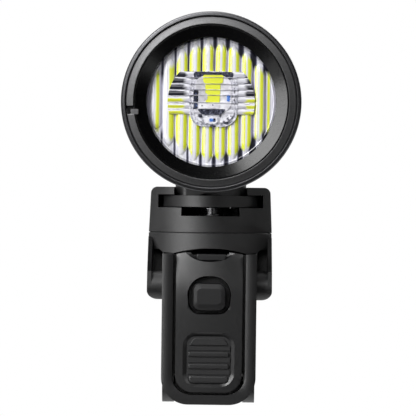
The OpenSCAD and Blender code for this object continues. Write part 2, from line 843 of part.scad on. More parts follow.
module saddle() {
  corner = 3;
  knuckle_w = band_w / 2 - hinge_span - swing_gap;
  knuckle_x = hinge_span + swing_gap + knuckle_w / 2;
  front_r = bow_r + dock_front - saddle_front;
  far = 4 * saddle_w;
  color([0.09, 0.09, 0.1])
    difference() {
      union() {
        intersection() {
          translate([0, 0, wing_z])
            linear_extrude(saddle_top - wing_z) bowed(saddle_w, saddle_front, saddle_rear, front_r, corner);
          union() {
            upright(saddle_front - 1, wing_front - saddle_front + 1) visor_outline();
            translate([-far / 2, wing_front - eps, slab_z]) cube([far, far, slab_t]);
          }
        }
        bar_band(band_r, seat_r, 2 * wing_x + 2 * eps, web_z, web_z, true);
        difference() {
          bar_band(band_r, seat_r, band_w, jaw_rear_z + band_split, 0, true);
          rod_x(knuckle_r + swing_gap, 2 * (hinge_span + swing_gap), hinge_y, hinge_z);
          across(2 * (hinge_span + swing_gap)) translate([0, hinge_z - band_r]) square([band_r, band_r]);
        }
        for (x = [-knuckle_x, knuckle_x])
          rod_x(knuckle_r, knuckle_w, hinge_y, hinge_z, x);
        for (x = [-1, 1])
          intersection() {
            union() {
              across(wing_t, x * (wing_x + wing_t / 2)) wing_outline();
              across(skin_t, x * (saddle_w / 2 - skin_t / 2)) skin_outline();
            }
            upright(-far / 2, far) round_bottom(saddle_w, saddle_top, wing_z, wing_corner_r);
          }
      }
      rod_x(seat_r, 2 * saddle_w, 0, 0);
      rod_x(pin_r + seat_gap, 2 * saddle_w, hinge_y, hinge_z);
      rod_x(pin_r + seat_gap, saddle_w - 1.6, keeper_y, keeper_z);
      cylinder(h = saddle_top + 1, r = screw_r + seat_gap);
      translate([0, 0, saddle_top - 0.6 - nut_h - seat_gap - band_t])
        cylinder(h = nut_h + 2 * seat_gap + band_t, r = nut_r + seat_gap, $fn = 6);
    }
}

module saddle_pad()
  color([0.16, 0.16, 0.16])
    bar_band(seat_r - seat_gap, bar_r, pad_w, jaw_rear_z + band_split, 0, true);

module hinge_pin()
  color([0.75, 0.75, 0.77]) rod_x(pin_r, band_w - 0.6, hinge_y, hinge_z);

module keeper_pin()
  color([0.75, 0.75, 0.77]) rod_x(pin_r, saddle_w - 1.8, keeper_y, keeper_z);

module jaw() {
  web_half = 3;
  far = norm([pin_y, pin_z]);
  lean = atan2(-pin_z, -pin_y);
  knuckle_len = 2 * hinge_span;
  arm_angle = -35;
  color([0.09, 0.09, 0.1])
    difference() {
      union() {
        difference() {
          bar_band(band_r, seat_r, band_w, jaw_rear_z, jaw_front_z, false);
          for (x = [-1, 1])
            rod_x(knuckle_r + swing_gap, band_w, hinge_y, hinge_z, x * (hinge_span + band_w / 2));
        }
        rod_x(knuckle_r, knuckle_len, hinge_y, hinge_z);
        across(knuckle_len)
          polygon([
            [hinge_y - knuckle_r, hinge_z], [hinge_y + knuckle_r, hinge_z],
            band_r * [cos(arm_angle), sin(arm_angle)], seat_r * [cos(arm_angle), sin(arm_angle)]
          ]);
        for (x = [-1, 1]) {
          rod_x(ear_r, ear_t, pin_y, pin_z, x * (ear_in + ear_t / 2));
          across(ear_t, x * (ear_in + ear_t / 2))
            rotate(180 + lean) translate([seat_r + 1, -web_half]) square([far - seat_r - 1, 2 * web_half]);
        }
      }
      rod_x(seat_r, 2 * saddle_w, 0, 0);
      rod_x(pin_r + running_gap, 2 * saddle_w, hinge_y, hinge_z);
      rod_x(pin_r + seat_gap, 2 * saddle_w, pin_y, pin_z);
    }
}

module jaw_pad()
  color([0.16, 0.16, 0.16])
    bar_band(seat_r - seat_gap, bar_r, pad_w, jaw_rear_z, jaw_front_z, false);

module lever_pin()
  color([0.75, 0.75, 0.77]) rod_x(pin_r, 2 * (ear_in + ear_t) - 0.4, pin_y, pin_z);

// Lever

module hook_outline()
  translate([keeper_y, keeper_z])
    rotate(hook_slope)
      translate([-hook_len, pin_r + slide_gap]) square([hook_len + (hook_reach - keeper_y), hook_t]);

module lever_frame() {
  bore_w = lever_w - 2 * rail_w;
  barrel_w = 2 * (ear_in - swing_gap);
  ear_room = ear_r + swing_gap;
  color([0.09, 0.09, 0.1])
    difference() {
      union() {
        difference() {
          upright(lever_front, rail_t) round_bottom(lever_w, rail_top, lever_bottom, lever_corner_r);
          upright(lever_front - 1, rail_t + 2)
            round_bottom(bore_w, lever_top + 1, panel_bottom - groove_w, panel_corner_r + groove_w);
        }
        upright(plate_front, plate_t)
          round_bottom(bore_w + 1, lever_top - 1, panel_bottom - groove_w - 1, panel_corner_r);
        rod_x(barrel_r, barrel_w, pin_y, pin_z);
        across(barrel_w) translate([plate_front, pin_z]) square([pin_y - plate_front, barrel_r]);
        for (x = [-1, 1])
          across(hook_w, x * (hook_in + hook_w / 2))
            difference() {
              hook_outline();
              translate([plate_front - 10, 0]) square([10, keeper_z + 20]);
            }
      }
      rod_x(pin_r + running_gap, 2 * lever_w, pin_y, pin_z);
      for (x = [-1, 1])
        rod_x(ear_room, lever_w, pin_y, pin_z, x * (ear_in - swing_gap + lever_w / 2));
      translate([0, 0, release_z]) rotate([90, 0, 0])
        cylinder(h = 4 * seat_r, r = 1.6 + running_gap + 0.1, center = true);
    }
}

// Outline of the release button, a little wider at its lower end
module release_outline(gap) {
  half = release_w / 2 + gap;
  top = release_h / 2 + gap;
  corner = 2;
  difference() {
    translate([0, release_z]) rounded(2 * half, 2 * top, corner);
    for (x = [-1, 1])
      translate([x * (half + 2.4), release_z + top]) rotate(x * 8) square([4, release_h], center = true);
  }
}

module lever_panel() {
  recess = 1;
  tab_h = 1.8;
  color([0.11, 0.11, 0.12]) {
    upright(lever_front + scoop_depth / 2, scoop_depth)
      translate([0, lever_top - tab_h / 2]) rounded(tab_w, tab_h, tab_h / 4);
    difference() {
      intersection() {
        upright(lever_front, panel_t) round_bottom(panel_w, lever_top, panel_bottom, panel_corner_r);
        upright(lever_front, panel_t) translate([0, lever_top - arch_r]) circle(arch_r);
      }
      upright(lever_front - 1, panel_t + 2) release_outline(0.2);
      upright(lever_front - 1, recess + 1) translate([0, 0.5]) release_outline(1.1);
      upright(lever_front - 1, grip_depth + 1) translate([0, grip_z]) rounded(grip_w, grip_h, 3);
      upright(lever_front - 1, scoop_depth + 1)
        translate([0, lever_top]) rounded(scoop_w, 2 * scoop_h, scoop_h - eps);
    }
  }
}

module release_button() {
  rise = 1.2;
  skirt = 2;
  stem_r = 1.6;
  color([0.13, 0.13, 0.14]) {
    upright(lever_front - rise, rise + skirt) release_outline(0);
    translate([0, lever_front + skirt - eps, release_z]) rotate([-90, 0, 0])
      cylinder(h = keeper_y - pin_r - release_travel - 0.2 - lever_front - skirt, r = stem_r);
  }
}

module button_spring()
  color([0.7, 0.7, 0.72])
    translate([0, lever_front + 2 + seat_gap, release_z]) rotate([-90, 0, 0])
      difference() {
        cylinder(h = panel_t - 2 - seat_gap, r = 2.5);
        translate([0, 0, -1]) cylinder(h = panel_t + 2, r = 2);
      }

module thumb_grip() {
  floor_t = 0.6;
  floor_y = lever_front + grip_depth - floor_t - seat_gap;
  color([0.07, 0.07, 0.07]) {
    upright(floor_y, floor_t) translate([0, grip_z]) rounded(grip_w - 2 * seat_gap, grip_h - 2 * seat_gap, 3);
    for (i = [0 : rib_count - 1])
      upright(floor_y - rib_rise, rib_rise + eps)
        translate([0, grip_z + (i - (rib_count - 1) / 2) * rib_pitch]) rounded(rib_w, rib_h, rib_h / 2 - eps);
  }
}

head_housing();
bezel_ring();
light_shield();
front_lens();
lens_gasket();
reflector();
led_chip();
led_board();
led_wires();
driver_board();
driver_retainer();
head_seal();
battery_tube();
front_contact_spring();
battery_cell();
rear_contact_spring();
tail_cap();
tail_seal();
tail_board();
usb_port();
port_cover();
power_button();
button_surround();
tact_switch();
foot();
foot_screws();
dock();
latch();
latch_screw();
swivel_screw();
swivel_washer();
friction_ring();
swivel_nut();
saddle();
saddle_pad();
hinge_pin();
keeper_pin();
jaw();
jaw_pad();
lever_pin();
lever_frame();
lever_panel();
release_button();
button_spring();
thumb_grip();
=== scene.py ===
# %% [markdown]
# A bicycle headlight on its handlebar clamp.
# The object is a round lamp head with a fluted lens, a battery tube behind it, a foot that slides
# into a dock, and a quick-release clamp with a lever in front. Its solids come from the packed
# model, so this lesson only gives them their looks. It could all be modelled again from nothing,
# but then the pieces would no longer fit the joints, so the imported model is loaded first.

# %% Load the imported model
import json
import math
import bpy
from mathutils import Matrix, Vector

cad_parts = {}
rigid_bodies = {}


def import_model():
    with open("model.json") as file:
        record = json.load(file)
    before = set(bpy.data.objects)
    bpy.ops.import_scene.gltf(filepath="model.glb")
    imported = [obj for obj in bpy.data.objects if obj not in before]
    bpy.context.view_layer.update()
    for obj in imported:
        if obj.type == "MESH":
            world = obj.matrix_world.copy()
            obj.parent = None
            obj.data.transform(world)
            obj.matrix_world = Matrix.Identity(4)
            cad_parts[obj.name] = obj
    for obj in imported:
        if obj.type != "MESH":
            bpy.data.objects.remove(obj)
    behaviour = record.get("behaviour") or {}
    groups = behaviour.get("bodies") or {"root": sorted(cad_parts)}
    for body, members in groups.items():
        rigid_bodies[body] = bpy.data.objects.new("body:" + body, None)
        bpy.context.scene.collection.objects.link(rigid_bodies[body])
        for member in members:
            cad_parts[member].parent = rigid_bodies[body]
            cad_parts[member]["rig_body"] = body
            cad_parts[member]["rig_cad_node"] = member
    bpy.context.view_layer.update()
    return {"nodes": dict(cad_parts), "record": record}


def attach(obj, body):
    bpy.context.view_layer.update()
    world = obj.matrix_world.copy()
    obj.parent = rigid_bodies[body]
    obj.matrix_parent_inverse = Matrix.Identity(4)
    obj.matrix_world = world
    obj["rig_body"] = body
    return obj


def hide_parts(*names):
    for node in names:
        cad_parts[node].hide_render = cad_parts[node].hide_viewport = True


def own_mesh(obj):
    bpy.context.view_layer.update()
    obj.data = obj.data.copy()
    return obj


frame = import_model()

MM = 0.001
for leftover in ("Cube", "Light", "Camera"):
    if leftover in bpy.data.objects:
        bpy.data.objects.remove(bpy.data.objects[leftover])

# %% [markdown]
# The camera.
# The photograph looks straight at the lens from far away, so that the clamp, 40 mm behind the
# rim, is hardly smaller than it would be on a drawing. A long lens gives that. The object is
# turned a little clockwise in the picture, which a small roll of the camera repeats. The other
# two angles aim the camera from a little above and beside the middle. They could be zero with the
# picture shifted instead, but then the rim would stand wrongly before the clamp.

# %% Camera
LAMP_Z = 55.2
RIM_Y = -52.0
CAMERA_PLACE = (3.33, RIM_Y - 700.0, 33.58)
CAMERA_ANGLES = (89.605, -0.7, 0.316)
camera_data = bpy.data.cameras.new("photo_camera")
camera_data.sensor_width = 36.0
camera_data.lens = 243.7
camera = bpy.data.objects.new("photo_camera", camera_data)
camera.location = [part * MM for part in CAMERA_PLACE]
camera.rotation_euler = [math.radians(angle) for angle in CAMERA_ANGLES]
bpy.context.scene.collection.objects.link(camera)
bpy.context.scene.camera = camera
bpy.context.scene.view_settings.view_transform = "Standard"
print("camera stands", round(-camera.location.y, 3), "m in front of the bar")

# %% [markdown]
# Colours and shader nodes.
# A paint chip or a picture gives colours in sRGB, while shaders calculate in linear light, so one
# function turns a hex value into linear numbers. A second one sets or links the inputs of a
# shader node, and a third adds a node with its settings, inputs and colour stops. A material could
# be clicked together by hand, but written like this every setting can be read.

# %% Colour and node helpers
def linear(code):
    channels = []
    for start in (1, 3, 5):
        share = int(code[start:start + 2], 16) / 255
        channels.append(share / 12.92 if share <= 0.04045 else ((share + 0.055) / 1.055) ** 2.4)
    return (*channels, 1.0)


def plug(node, inputs):
    for socket, value in inputs.items():
        if isinstance(value, bpy.types.Node):
            value = next(output for output in value.outputs if output.enabled)
        if isinstance(value, bpy.types.NodeSocket):
            node.id_data.links.new(value, node.inputs[socket])
        else:
            node.inputs[socket].default_value = value


def add_node(tree, kind, inputs=None, stops=None, **settings):
    node = tree.nodes.new("ShaderNode" + kind)
    for setting, value in settings.items():
        setattr(node, setting, value)
    plug(node, inputs or {})
    if stops:
        ramp = node.color_ramp
        ramp.elements.remove(ramp.elements[1])
        ramp.elements[0].position = stops[0][0]
        ramp.elements[0].color = linear(stops[0][1])
        for position, code in stops[1:]:
            ramp.elements.new(position).color = linear(code)
    return node


print("mid grey #808080 is", round(linear("#808080")[0], 3), "in linear light")

# %% [markdown]
# Starting a material.
# All finishes read Object coordinates: the pieces sit at the origin, so a pattern keeps its real
# size in millimetres on every piece and runs on from one to the next. UV maps would do for cloth,
# but hard moulded pieces have no direction that needs them.

# %% Start a material
finish = {}


def start_finish(name):
    finish[name] = bpy.data.materials.new(name)
    finish[name].use_nodes = True
    tree = finish[name].node_tree
    return tree, tree.nodes["Principled BSDF"], add_node(tree, "TexCoord").outputs["Object"]


def per_mm(size):
    return 1.0 / (size * MM)


print("a 0.4 mm grain has a noise scale of", round(per_mm(0.4)))

# %% [markdown]
# The white studio.
# Behind the object everything is white. If that white also lit the object, black plastic would
# turn grey, so the world asks the Light Path which ray it is: rays from the camera, mirror rays
# and rays through glass see white, and all others see a dim room.

# %% World
ROOM_LIGHT = 0.40


def sees_white(tree):
    ray = add_node(tree, "LightPath")
    mirrored = add_node(tree, "Math", {0: ray.outputs["Is Camera Ray"], 1: ray.outputs["Is Glossy Ray"]},
                        operation="MAXIMUM")
    return add_node(tree, "Math", {0: mirrored, 1: ray.outputs["Is Transmission Ray"]}, operation="MAXIMUM")


world = bpy.data.worlds.new("white_studio")
bpy.context.scene.world = world
world.use_nodes = True
world_tree = world.node_tree
world_tree.nodes.clear()
level = add_node(world_tree, "MapRange", {"Value": sees_white(world_tree), "To Min": ROOM_LIGHT})
sky = add_node(world_tree, "Background", {"Color": linear("#ffffff"), "Strength": level})
add_node(world_tree, "OutputWorld", {"Surface": sky})
print("world made, room light", ROOM_LIGHT)

# %% [markdown]
# Floor and black curtains.
# Product photographers stand black cards beside a black object, because its edges show whatever
# is next to it: without them the rims would turn white. Here a black felt curtain runs round
# the camera's side. It could be left out and the plastics made duller, but then the soft
# highlights would go as well. The floor is matt white paint. It lies well below the object and
# looks white to the same rays as the world does.

# %% Floor
def staged_plane(name, size, place, turn, material):
    bpy.ops.mesh.primitive_plane_add(size=size, location=place, rotation=turn)
    plane = bpy.context.object
    plane.name = name
    plane.data.materials.append(material)
    return plane


floor_tree = start_finish("matt_white_paint")[0]
floor_tree.nodes.clear()
paint = add_node(floor_tree, "BsdfDiffuse", {"Color": linear("#f4f4f4")})
glow = add_node(floor_tree, "Emission", {"Color": linear("#ffffff")})
painted = add_node(floor_tree, "MixShader", {0: sees_white(floor_tree), 1: paint, 2: glow})
add_node(floor_tree, "OutputMaterial", {"Surface": painted})
staged_plane("studio_floor", 6.0, (0, 0, -0.45), (0, 0, 0), finish["matt_white_paint"])
print("floor staged")

# %% Curtains and cards
CURTAIN_FAR = 1.5
FELT_NAP = 2.5
felt_tree, felt_surface, felt_place = start_finish("black_felt")
nap = add_node(felt_tree, "TexNoise", {"Vector": felt_place, "Scale": per_mm(FELT_NAP)})
black = add_node(felt_tree, "ValToRGB", {"Fac": nap}, stops=((0.0, "#050505"), (1.0, "#101010")))
plug(felt_surface, {"Base Color": black, "Roughness": 1.0})
hung = []
for curtain, bearing in (("curtain_left", -70), ("curtain_front", 0), ("curtain_right", 70)):
    angle = math.radians(bearing)
    spot = (CURTAIN_FAR * math.sin(angle), -CURTAIN_FAR * math.cos(angle), 0.0)
    hung.append(staged_plane(curtain, 2.6, spot, (math.radians(90), 0, angle), finish["black_felt"]))
for card, size, spot in (("card_below", 1.5, (0, -0.95, -0.43)), ("card_above", 2.6, (0, -1.2, 1.25))):
    hung.append(staged_plane(card, size, spot, (0, 0, 0), finish["black_felt"]))
for plane in hung:
    plane.visible_camera = False
    plane.visible_shadow = False
print(len(hung), "curtains and cards staged")

# %% [markdown]
# Lamps.
# The photograph's highlights lie on the left of every rounded edge, so the main soft box stands
# on the left. Two more stand above it, one of them for the head alone. Weaker ones in front and
# on the right open the shadows, a strip from above and a box behind draw the upper edges, and a
# small one shines into the slot under the foot. Point lamps would give hard spots, so all are areas.

# %% Soft boxes
def soft_box(name, place, aim, size, watts):
    data = bpy.data.lights.new(name, "AREA")
    data.shape = "RECTANGLE"
    data.size, data.size_y = size
    data.energy = watts
    lamp = bpy.data.objects.new(name, data)
    lamp.location = place
    lamp.rotation_euler = (Vector(aim) - Vector(place)).to_track_quat("-Z", "Y").to_euler()
    bpy.context.scene.collection.objects.link(lamp)
    print(name, watts, "W")


soft_box("key_left", (-0.50, -0.62, 0.34), (0, 0, 0.02), (0.36, 0.95), 7.4)
soft_box("head_left", (-0.29, -0.62, 0.60), (0, 0, 0.05), (0.40, 0.80), 6.5)
soft_box("high_left", (-0.52, -0.55, 0.68), (0, 0, 0.04), (0.40, 0.30), 3.0)
soft_box("front_high", (-0.12, -0.85, 0.34), (0, 0, 0.03), (0.35, 0.25), 0.8)
soft_box("fill_right", (0.50, -0.55, 0.42), (0, 0, 0.03), (0.30, 0.35), 0.9)
soft_box("top_strip", (-0.05, -0.05, 0.70), (0, 0, 0.03), (0.50, 0.25), 1.6)
soft_box("back_rim", (0.30, 0.70, 0.40), (0, 0, 0.04), (0.40, 0.40), 2.0)
soft_box("slot_lamp", (-0.12, -0.70, 0.034), (0, 0, 0.027), (0.36, 0.10), 0.14)

# %% [markdown]
# Moulded plastics and rubber.
# The clamp is glass-filled nylon, the lever ABS, the seals rubber. All come from a steel mould
# whose spark-eroded skin leaves a fine grain: it breaks up the highlight and makes black look
# charcoal. A slow change of colour stands for flow marks, and the grain drives both roughness and
# bump. Each kind differs only in its grain size, its gloss and its black. The true grain is
# about 0.1 mm, too fine for this picture, so it is drawn coarser.

# %% Moulded plastics and rubber
NOISE_LOW = 0.3
NOISE_HIGH = 0.7
FLOW_MARK = 14.0
GRAIN_DEPTH = 0.02
GRAIN_SWING = 0.06


def speckle(tree, colour_noise, dark, light, gloss_noise, low, high):
    shade = add_node(tree, "ValToRGB", {"Fac": colour_noise}, stops=((NOISE_LOW, dark), (NOISE_HIGH, light)))
    dull = add_node(tree, "MapRange", {"Value": gloss_noise, "From Min": NOISE_LOW, "From Max": NOISE_HIGH,
                                       "To Min": low, "To Max": high})
    return {"Base Color": shade, "Roughness": dull}


def moulded(name, dark, light, grain, gloss, depth, specular):
    tree, surface, place = start_finish(name)
    flow = add_node(tree, "TexNoise", {"Vector": place, "Scale": per_mm(FLOW_MARK), "Detail": 3.0})
    grains = add_node(tree, "TexNoise", {"Vector": place, "Scale": per_mm(grain), "Detail": 2.0})
    speckled = speckle(tree, flow, dark, light, grains, gloss - GRAIN_SWING, gloss + GRAIN_SWING)
    skin = add_node(tree, "Bump", {"Height": grains, "Strength": depth, "Distance": GRAIN_DEPTH * MM})
    plug(surface, speckled | {"Normal": skin, "IOR": 1.5, "Specular IOR Level": specular})


moulded("glass_filled_nylon", "#0e0e0f", "#131314", 0.35, 0.50, 0.30, 1.0)
moulded("satin_abs", "#0f0f10", "#141415", 0.30, 0.40, 0.22, 0.8)
moulded("matt_shield_plastic", "#060607", "#0a0a0b", 0.15, 0.24, 0.04, 0.55)
moulded("black_rubber", "#121212", "#191919", 0.45, 0.66, 0.45, 0.4)
moulded("grip_rubber", "#1b1b1c", "#222223", 0.30, 0.42, 0.22, 0.8)
moulded("red_silicone_wire", "#8e1a14", "#a8251c", 0.40, 0.50, 0.20, 0.4)
moulded("blue_shrink_wrap", "#1f4f93", "#2a5ea6", 0.60, 0.30, 0.15, 0.5)
print("moulded finishes:", sorted(finish))

# %% [markdown]
# Turned and anodised aluminium.
# The head, its ring, the tube and the tail cap are turned on a lathe, blasted and anodised black.
# Anodising is a thin dyed skin over metal: the highlight is broad, grey and a little striped,
# because the tool's path still shows as rings round the lamp's axis. The rings come from noise on
# two numbers only, the distance from the axis and the place along it, so they can't help running
# round. The tool's true feed of 0.1 mm is drawn at 0.3 mm so that it shows.

# %% Anodised aluminium
TOOL_FEED = 0.3
BLAST_GRIT = 0.4
RING_DEPTH = 0.01
RING_SWING = 0.05


def turned_metal(name, dark, light, rough):
    tree, surface, place = start_finish(name)
    from_axis = add_node(tree, "Mapping", {"Vector": place, "Location": (0, 0, -LAMP_Z * MM)})
    flat = add_node(tree, "VectorMath", {0: from_axis, 1: (1, 0, 1)}, operation="MULTIPLY")
    radius = add_node(tree, "VectorMath", {0: flat}, operation="LENGTH")
    along = add_node(tree, "SeparateXYZ", {0: place})
    path = add_node(tree, "CombineXYZ", {"X": radius, "Y": along.outputs["Y"]})
    rings = add_node(tree, "TexNoise", {"Vector": path, "Scale": per_mm(TOOL_FEED), "Detail": 1.0})
    blast = add_node(tree, "TexNoise", {"Vector": place, "Scale": per_mm(BLAST_GRIT), "Detail": 2.0})
    speckled = speckle(tree, blast, dark, light, rings, rough - RING_SWING, rough + RING_SWING)
    skin = add_node(tree, "Bump", {"Height": rings, "Strength": 0.12, "Distance": RING_DEPTH * MM})
    plug(surface, speckled | {"Normal": skin, "Metallic": 1.0})


turned_metal("anodised_aluminium", "#5a5a5c", "#666668", 0.42)
turned_metal("satin_anodised_ring", "#707071", "#7c7c7d", 0.50)
print("turned finishes made")

# %% [markdown]
# Steel, brass and mirror.
# Screws and pins are drawn steel wire, the contact springs nickel-plated brass, the reflector a
# plastic bowl with vapour-deposited aluminium. Bare metal has hardly any colour of its own, so
# the roughness does the work: a little noise in it gives the smeared look of handled metal.

# %% Bright metals
def bright_metal(name, dark, light, rough, grain):
    tree, surface, place = start_finish(name)
    wipe = add_node(tree, "TexNoise", {"Vector": place, "Scale": per_mm(grain), "Detail": 4.0})
    speckled = speckle(tree, wipe, dark, light, wipe, rough * 0.7, rough * 1.3)
    plug(surface, speckled | {"Metallic": 1.0})


bright_metal("plated_steel", "#b4b4b6", "#c8c8ca", 0.28, 1.2)
bright_metal("blackened_steel", "#1c1c1e", "#262628", 0.45, 1.2)
bright_metal("nickelled_brass", "#b89a5c", "#cbb07a", 0.30, 1.0)
bright_metal("vapour_mirror", "#d8d8dc", "#e8e8ec", 0.10, 3.0)
print("bright metals made")

# %% [markdown]
# Circuit boards and emitter.
# A board is glass fibre under solder mask, glossy and slightly uneven over its copper tracks. The
# tracks are drawn as a brick pattern of lighter lines 1.2 mm apart. The emitter is silicone full
# of phosphor powder: matt, yellow, a little speckled.

# %% Boards and phosphor
TRACK_PITCH = 1.2


def solder_mask(name, dark, light):
    tree, surface, place = start_finish(name)
    flat = add_node(tree, "Mapping", {"Vector": place, "Rotation": (math.radians(90), 0, 0)})
    tracks = add_node(tree, "TexBrick", {"Vector": flat, "Scale": per_mm(TRACK_PITCH), "Mortar Size": 0.06,
                                         "Color1": linear(dark), "Color2": linear(dark),
                                         "Mortar": linear(light)})
    plug(surface, {"Base Color": tracks, "Roughness": 0.32})


solder_mask("white_solder_mask", "#e4e4e0", "#f2f2ee")
solder_mask("green_solder_mask", "#14512c", "#1f6b3c")
moulded("phosphor_silicone", "#dfe63a", "#eef04a", 0.25, 0.55, 0.20, 0.4)
print(len(finish), "finishes so far")

# %% [markdown]
# Dressing the solids.
# Most inner pieces are right as they are and only need their finish. They are listed under the
# material that the real piece is made of, and every solid gets one, also those that no view
# shows, because the part is also used taken apart. The clear front lens is an exception: it
# gets the phosphor's yellow as a painted picture of the emitter seen through it.

# %% Give every solid its finish
made_of = {
    "anodised_aluminium": ("head_housing", "battery_tube", "tail_cap"),
    "satin_anodised_ring": ("bezel_ring",),
    "matt_shield_plastic": ("light_shield",),
    "vapour_mirror": ("reflector",),
    # The clear front lens gets the phosphor's yellow: a painted picture of the emitter seen through it.
    "phosphor_silicone": ("led_chip", "front_lens"),
    "white_solder_mask": ("led_board",),
    "green_solder_mask": ("driver_board", "tail_board"),
    "red_silicone_wire": ("led_wires",),
    "nickelled_brass": ("driver_retainer", "front_contact_spring", "rear_contact_spring"),
    "blue_shrink_wrap": ("battery_cell",),
    "plated_steel": ("usb_port", "tact_switch", "latch_screw", "swivel_screw", "swivel_washer",
                     "swivel_nut", "hinge_pin", "keeper_pin", "button_spring"),
    "blackened_steel": ("foot_screws", "lever_pin"),
    "black_rubber": ("lens_gasket", "head_seal", "tail_seal", "port_cover", "power_button", "saddle_pad",
                     "jaw_pad", "thumb_grip"),
    "glass_filled_nylon": ("foot", "dock", "latch", "friction_ring", "saddle", "jaw"),
    "satin_abs": ("button_surround", "lever_frame", "lever_panel", "release_button"),
}
body_of = {}
for body, members in frame["record"]["behaviour"]["bodies"].items():
    for member in members:
        body_of[member] = body
slot_of = {part["node"]: part["material_slot"] for part in frame["record"]["subparts"]}
for name, solids in made_of.items():
    for solid in solids:
        for place in frame["nodes"][solid].material_slots:
            place.material = finish[name]
print("dressed", sum(len(solids) for solids in made_of.values()), "solids")

# %% [markdown]
# Helpers for modelling by hand.
# Every new piece goes through the same steps: a primitive at its size, faces or points chosen by
# their place or direction, an operator, and at the end a fixed order of merging, smoothing and
# riding. The steps that repeat are kept here, so that the cells below only tell what is special
# about a piece.

# %% Choosing and pulling
FACING = 0.9


def alone(piece):
    bpy.ops.object.select_all(action="DESELECT")
    piece.select_set(True)
    bpy.context.view_layer.objects.active = piece


def begin(name):
    piece = bpy.context.object
    piece.name = name
    bpy.ops.object.transform_apply()
    return piece


def leave_edit():
    bpy.ops.object.mode_set(mode="OBJECT")


def edit_all():
    bpy.ops.object.mode_set(mode="EDIT")
    bpy.ops.mesh.select_all(action="SELECT")


def choose(piece, kind, test):
    bpy.ops.object.mode_set(mode="EDIT")
    bpy.ops.mesh.select_mode(type=kind)
    bpy.ops.mesh.select_all(action="DESELECT")
    leave_edit()
    for face in piece.data.polygons if kind == "FACE" else ():
        face.select = test(face.center / MM, face.normal)
    for point in piece.data.vertices if kind == "VERT" else ():
        point.select = test(point.co / MM)
    bpy.ops.object.mode_set(mode="EDIT")


def pull_out(shift):
    bpy.ops.mesh.extrude_region_move(TRANSFORM_OT_translate={"value": [part * MM for part in shift]})


def shrink(factors, centre):
    bpy.ops.transform.resize(value=factors, center_override=[part * MM for part in centre])


def near(length, middle, reach):
    return abs(length / MM - middle) < reach


def clamped(share):
    return min(max(share, 0.0), 1.0)


def sag(radius, from_middle):
    return radius - math.sqrt(radius ** 2 - from_middle ** 2)


print("a bow of radius 20 mm sags", round(sag(20.0, 10.0), 2), "mm over 10 mm")

# %% Merging, smoothing and riding
MERGE_REACH = 0.002


def merge(piece):
    alone(piece)
    edit_all()
    bpy.ops.mesh.remove_doubles(threshold=MERGE_REACH * MM)
    bpy.ops.mesh.normals_make_consistent(inside=False)
    leave_edit()


def bevel(piece, radius, segments, angle, miter="MITER_SHARP"):
    rounding = piece.modifiers.new("rounding", "BEVEL")
    rounding.width = radius * MM
    rounding.segments = segments
    rounding.limit_method = "ANGLE"
    rounding.angle_limit = math.radians(angle)
    rounding.miter_outer = miter
    bpy.ops.object.modifier_apply(modifier=rounding.name)


def even_normals(piece, angle=30.0):
    bpy.ops.mesh.customdata_custom_splitnormals_clear()
    bpy.ops.object.shade_smooth_by_angle(angle=math.radians(angle))
    weighting = piece.modifiers.new("weighting", "WEIGHTED_NORMAL")
    weighting.keep_sharp = True
    bpy.ops.object.modifier_apply(modifier=weighting.name)
    print(piece.name, len(piece.data.polygons), "faces")


def settle(piece, body, slot, finish_name, *solids, angle=40.0):
    alone(piece)
    bpy.ops.object.transform_apply()
    merge(piece)
    even_normals(piece, angle)
    piece.data.materials.clear()
    piece.data.materials.append(finish[finish_name])
    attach(piece, body)
    if solids:
        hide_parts(*solids)


def one_mesh(name, pieces):
    bpy.ops.object.select_all(action="DESELECT")
    for piece in pieces:
        piece.select_set(True)
    bpy.context.view_layer.objects.active = pieces[0]
    bpy.ops.object.join()
    pieces[0].name = name
    return pieces[0]


def copied(piece, name):
    twin = piece.copy()
    twin.data = piece.data.copy()
    twin.name = name
    bpy.context.scene.collection.objects.link(twin)
    alone(twin)
    return twin


print("points within", MERGE_REACH, "mm are merged")

# %% [markdown]
# Rounded plates and cuts.
# Buttons, pads, ribs and windows are all thin plates with round corners. A plane gets its corners
# bevelled and its face pulled out towards the front, which is quicker and cleaner than cutting
# boxes. Hollows are cut with the Boolean modifier, by a second piece that is thrown away, and
# bisects lay lines over a piece where it needs points to move.

# %% Rounded plates and cuts
def upright_plane(name, size, place=(0, 0, 0)):
    bpy.ops.mesh.primitive_plane_add(size=1.0, rotation=(math.radians(90), 0, 0),
                                     location=[part * MM for part in place])
    bpy.context.object.scale = (size[0] * MM, size[1] * MM, 1.0)
    return begin(name)


def facing_disc(name, radius, depth, middle_y, vertices):
    bpy.ops.mesh.primitive_cylinder_add(vertices=vertices, radius=radius * MM, depth=depth * MM,
                                        location=(0, middle_y * MM, LAMP_Z * MM),
                                        rotation=(math.radians(90), 0, 0))
    return begin(name)


def rounded_plate(name, middle, size, corner, front, depth, taper=1.0):
    plate = upright_plane(name, size)
    for point in plate.data.vertices:
        if point.co.z < 0:
            point.co.x *= taper
    edit_all()
    bpy.ops.mesh.bevel(affect="VERTICES", offset=corner * MM, segments=6)
    bpy.ops.mesh.select_all(action="SELECT")
    pull_out((0, -depth, 0))
    leave_edit()
    plate.location = (middle[0] * MM, (front + depth) * MM, middle[1] * MM)
    bpy.ops.object.transform_apply()
    return plate


def raised_rim(plate, width, height):
    choose(plate, "FACE", lambda centre, normal: normal.y < -FACING)
    bpy.ops.mesh.inset(thickness=width * MM, depth=0.0)
    pull_out((0, height, 0))
    leave_edit()


def cut_away(piece, cutter):
    alone(cutter)
    edit_all()
    bpy.ops.mesh.normals_make_consistent(inside=False)
    leave_edit()
    alone(piece)
    cut = piece.modifiers.new("cut", "BOOLEAN")
    cut.operation = "DIFFERENCE"
    cut.solver = "EXACT"
    cut.object = cutter
    bpy.ops.object.modifier_apply(modifier=cut.name)
    bpy.data.objects.remove(cutter)


def grid_cuts(piece, normal, places):
    alone(piece)
    for place in places:
        edit_all()
        bpy.ops.mesh.bisect(plane_co=[part * place * MM for part in normal], plane_no=normal)
        leave_edit()


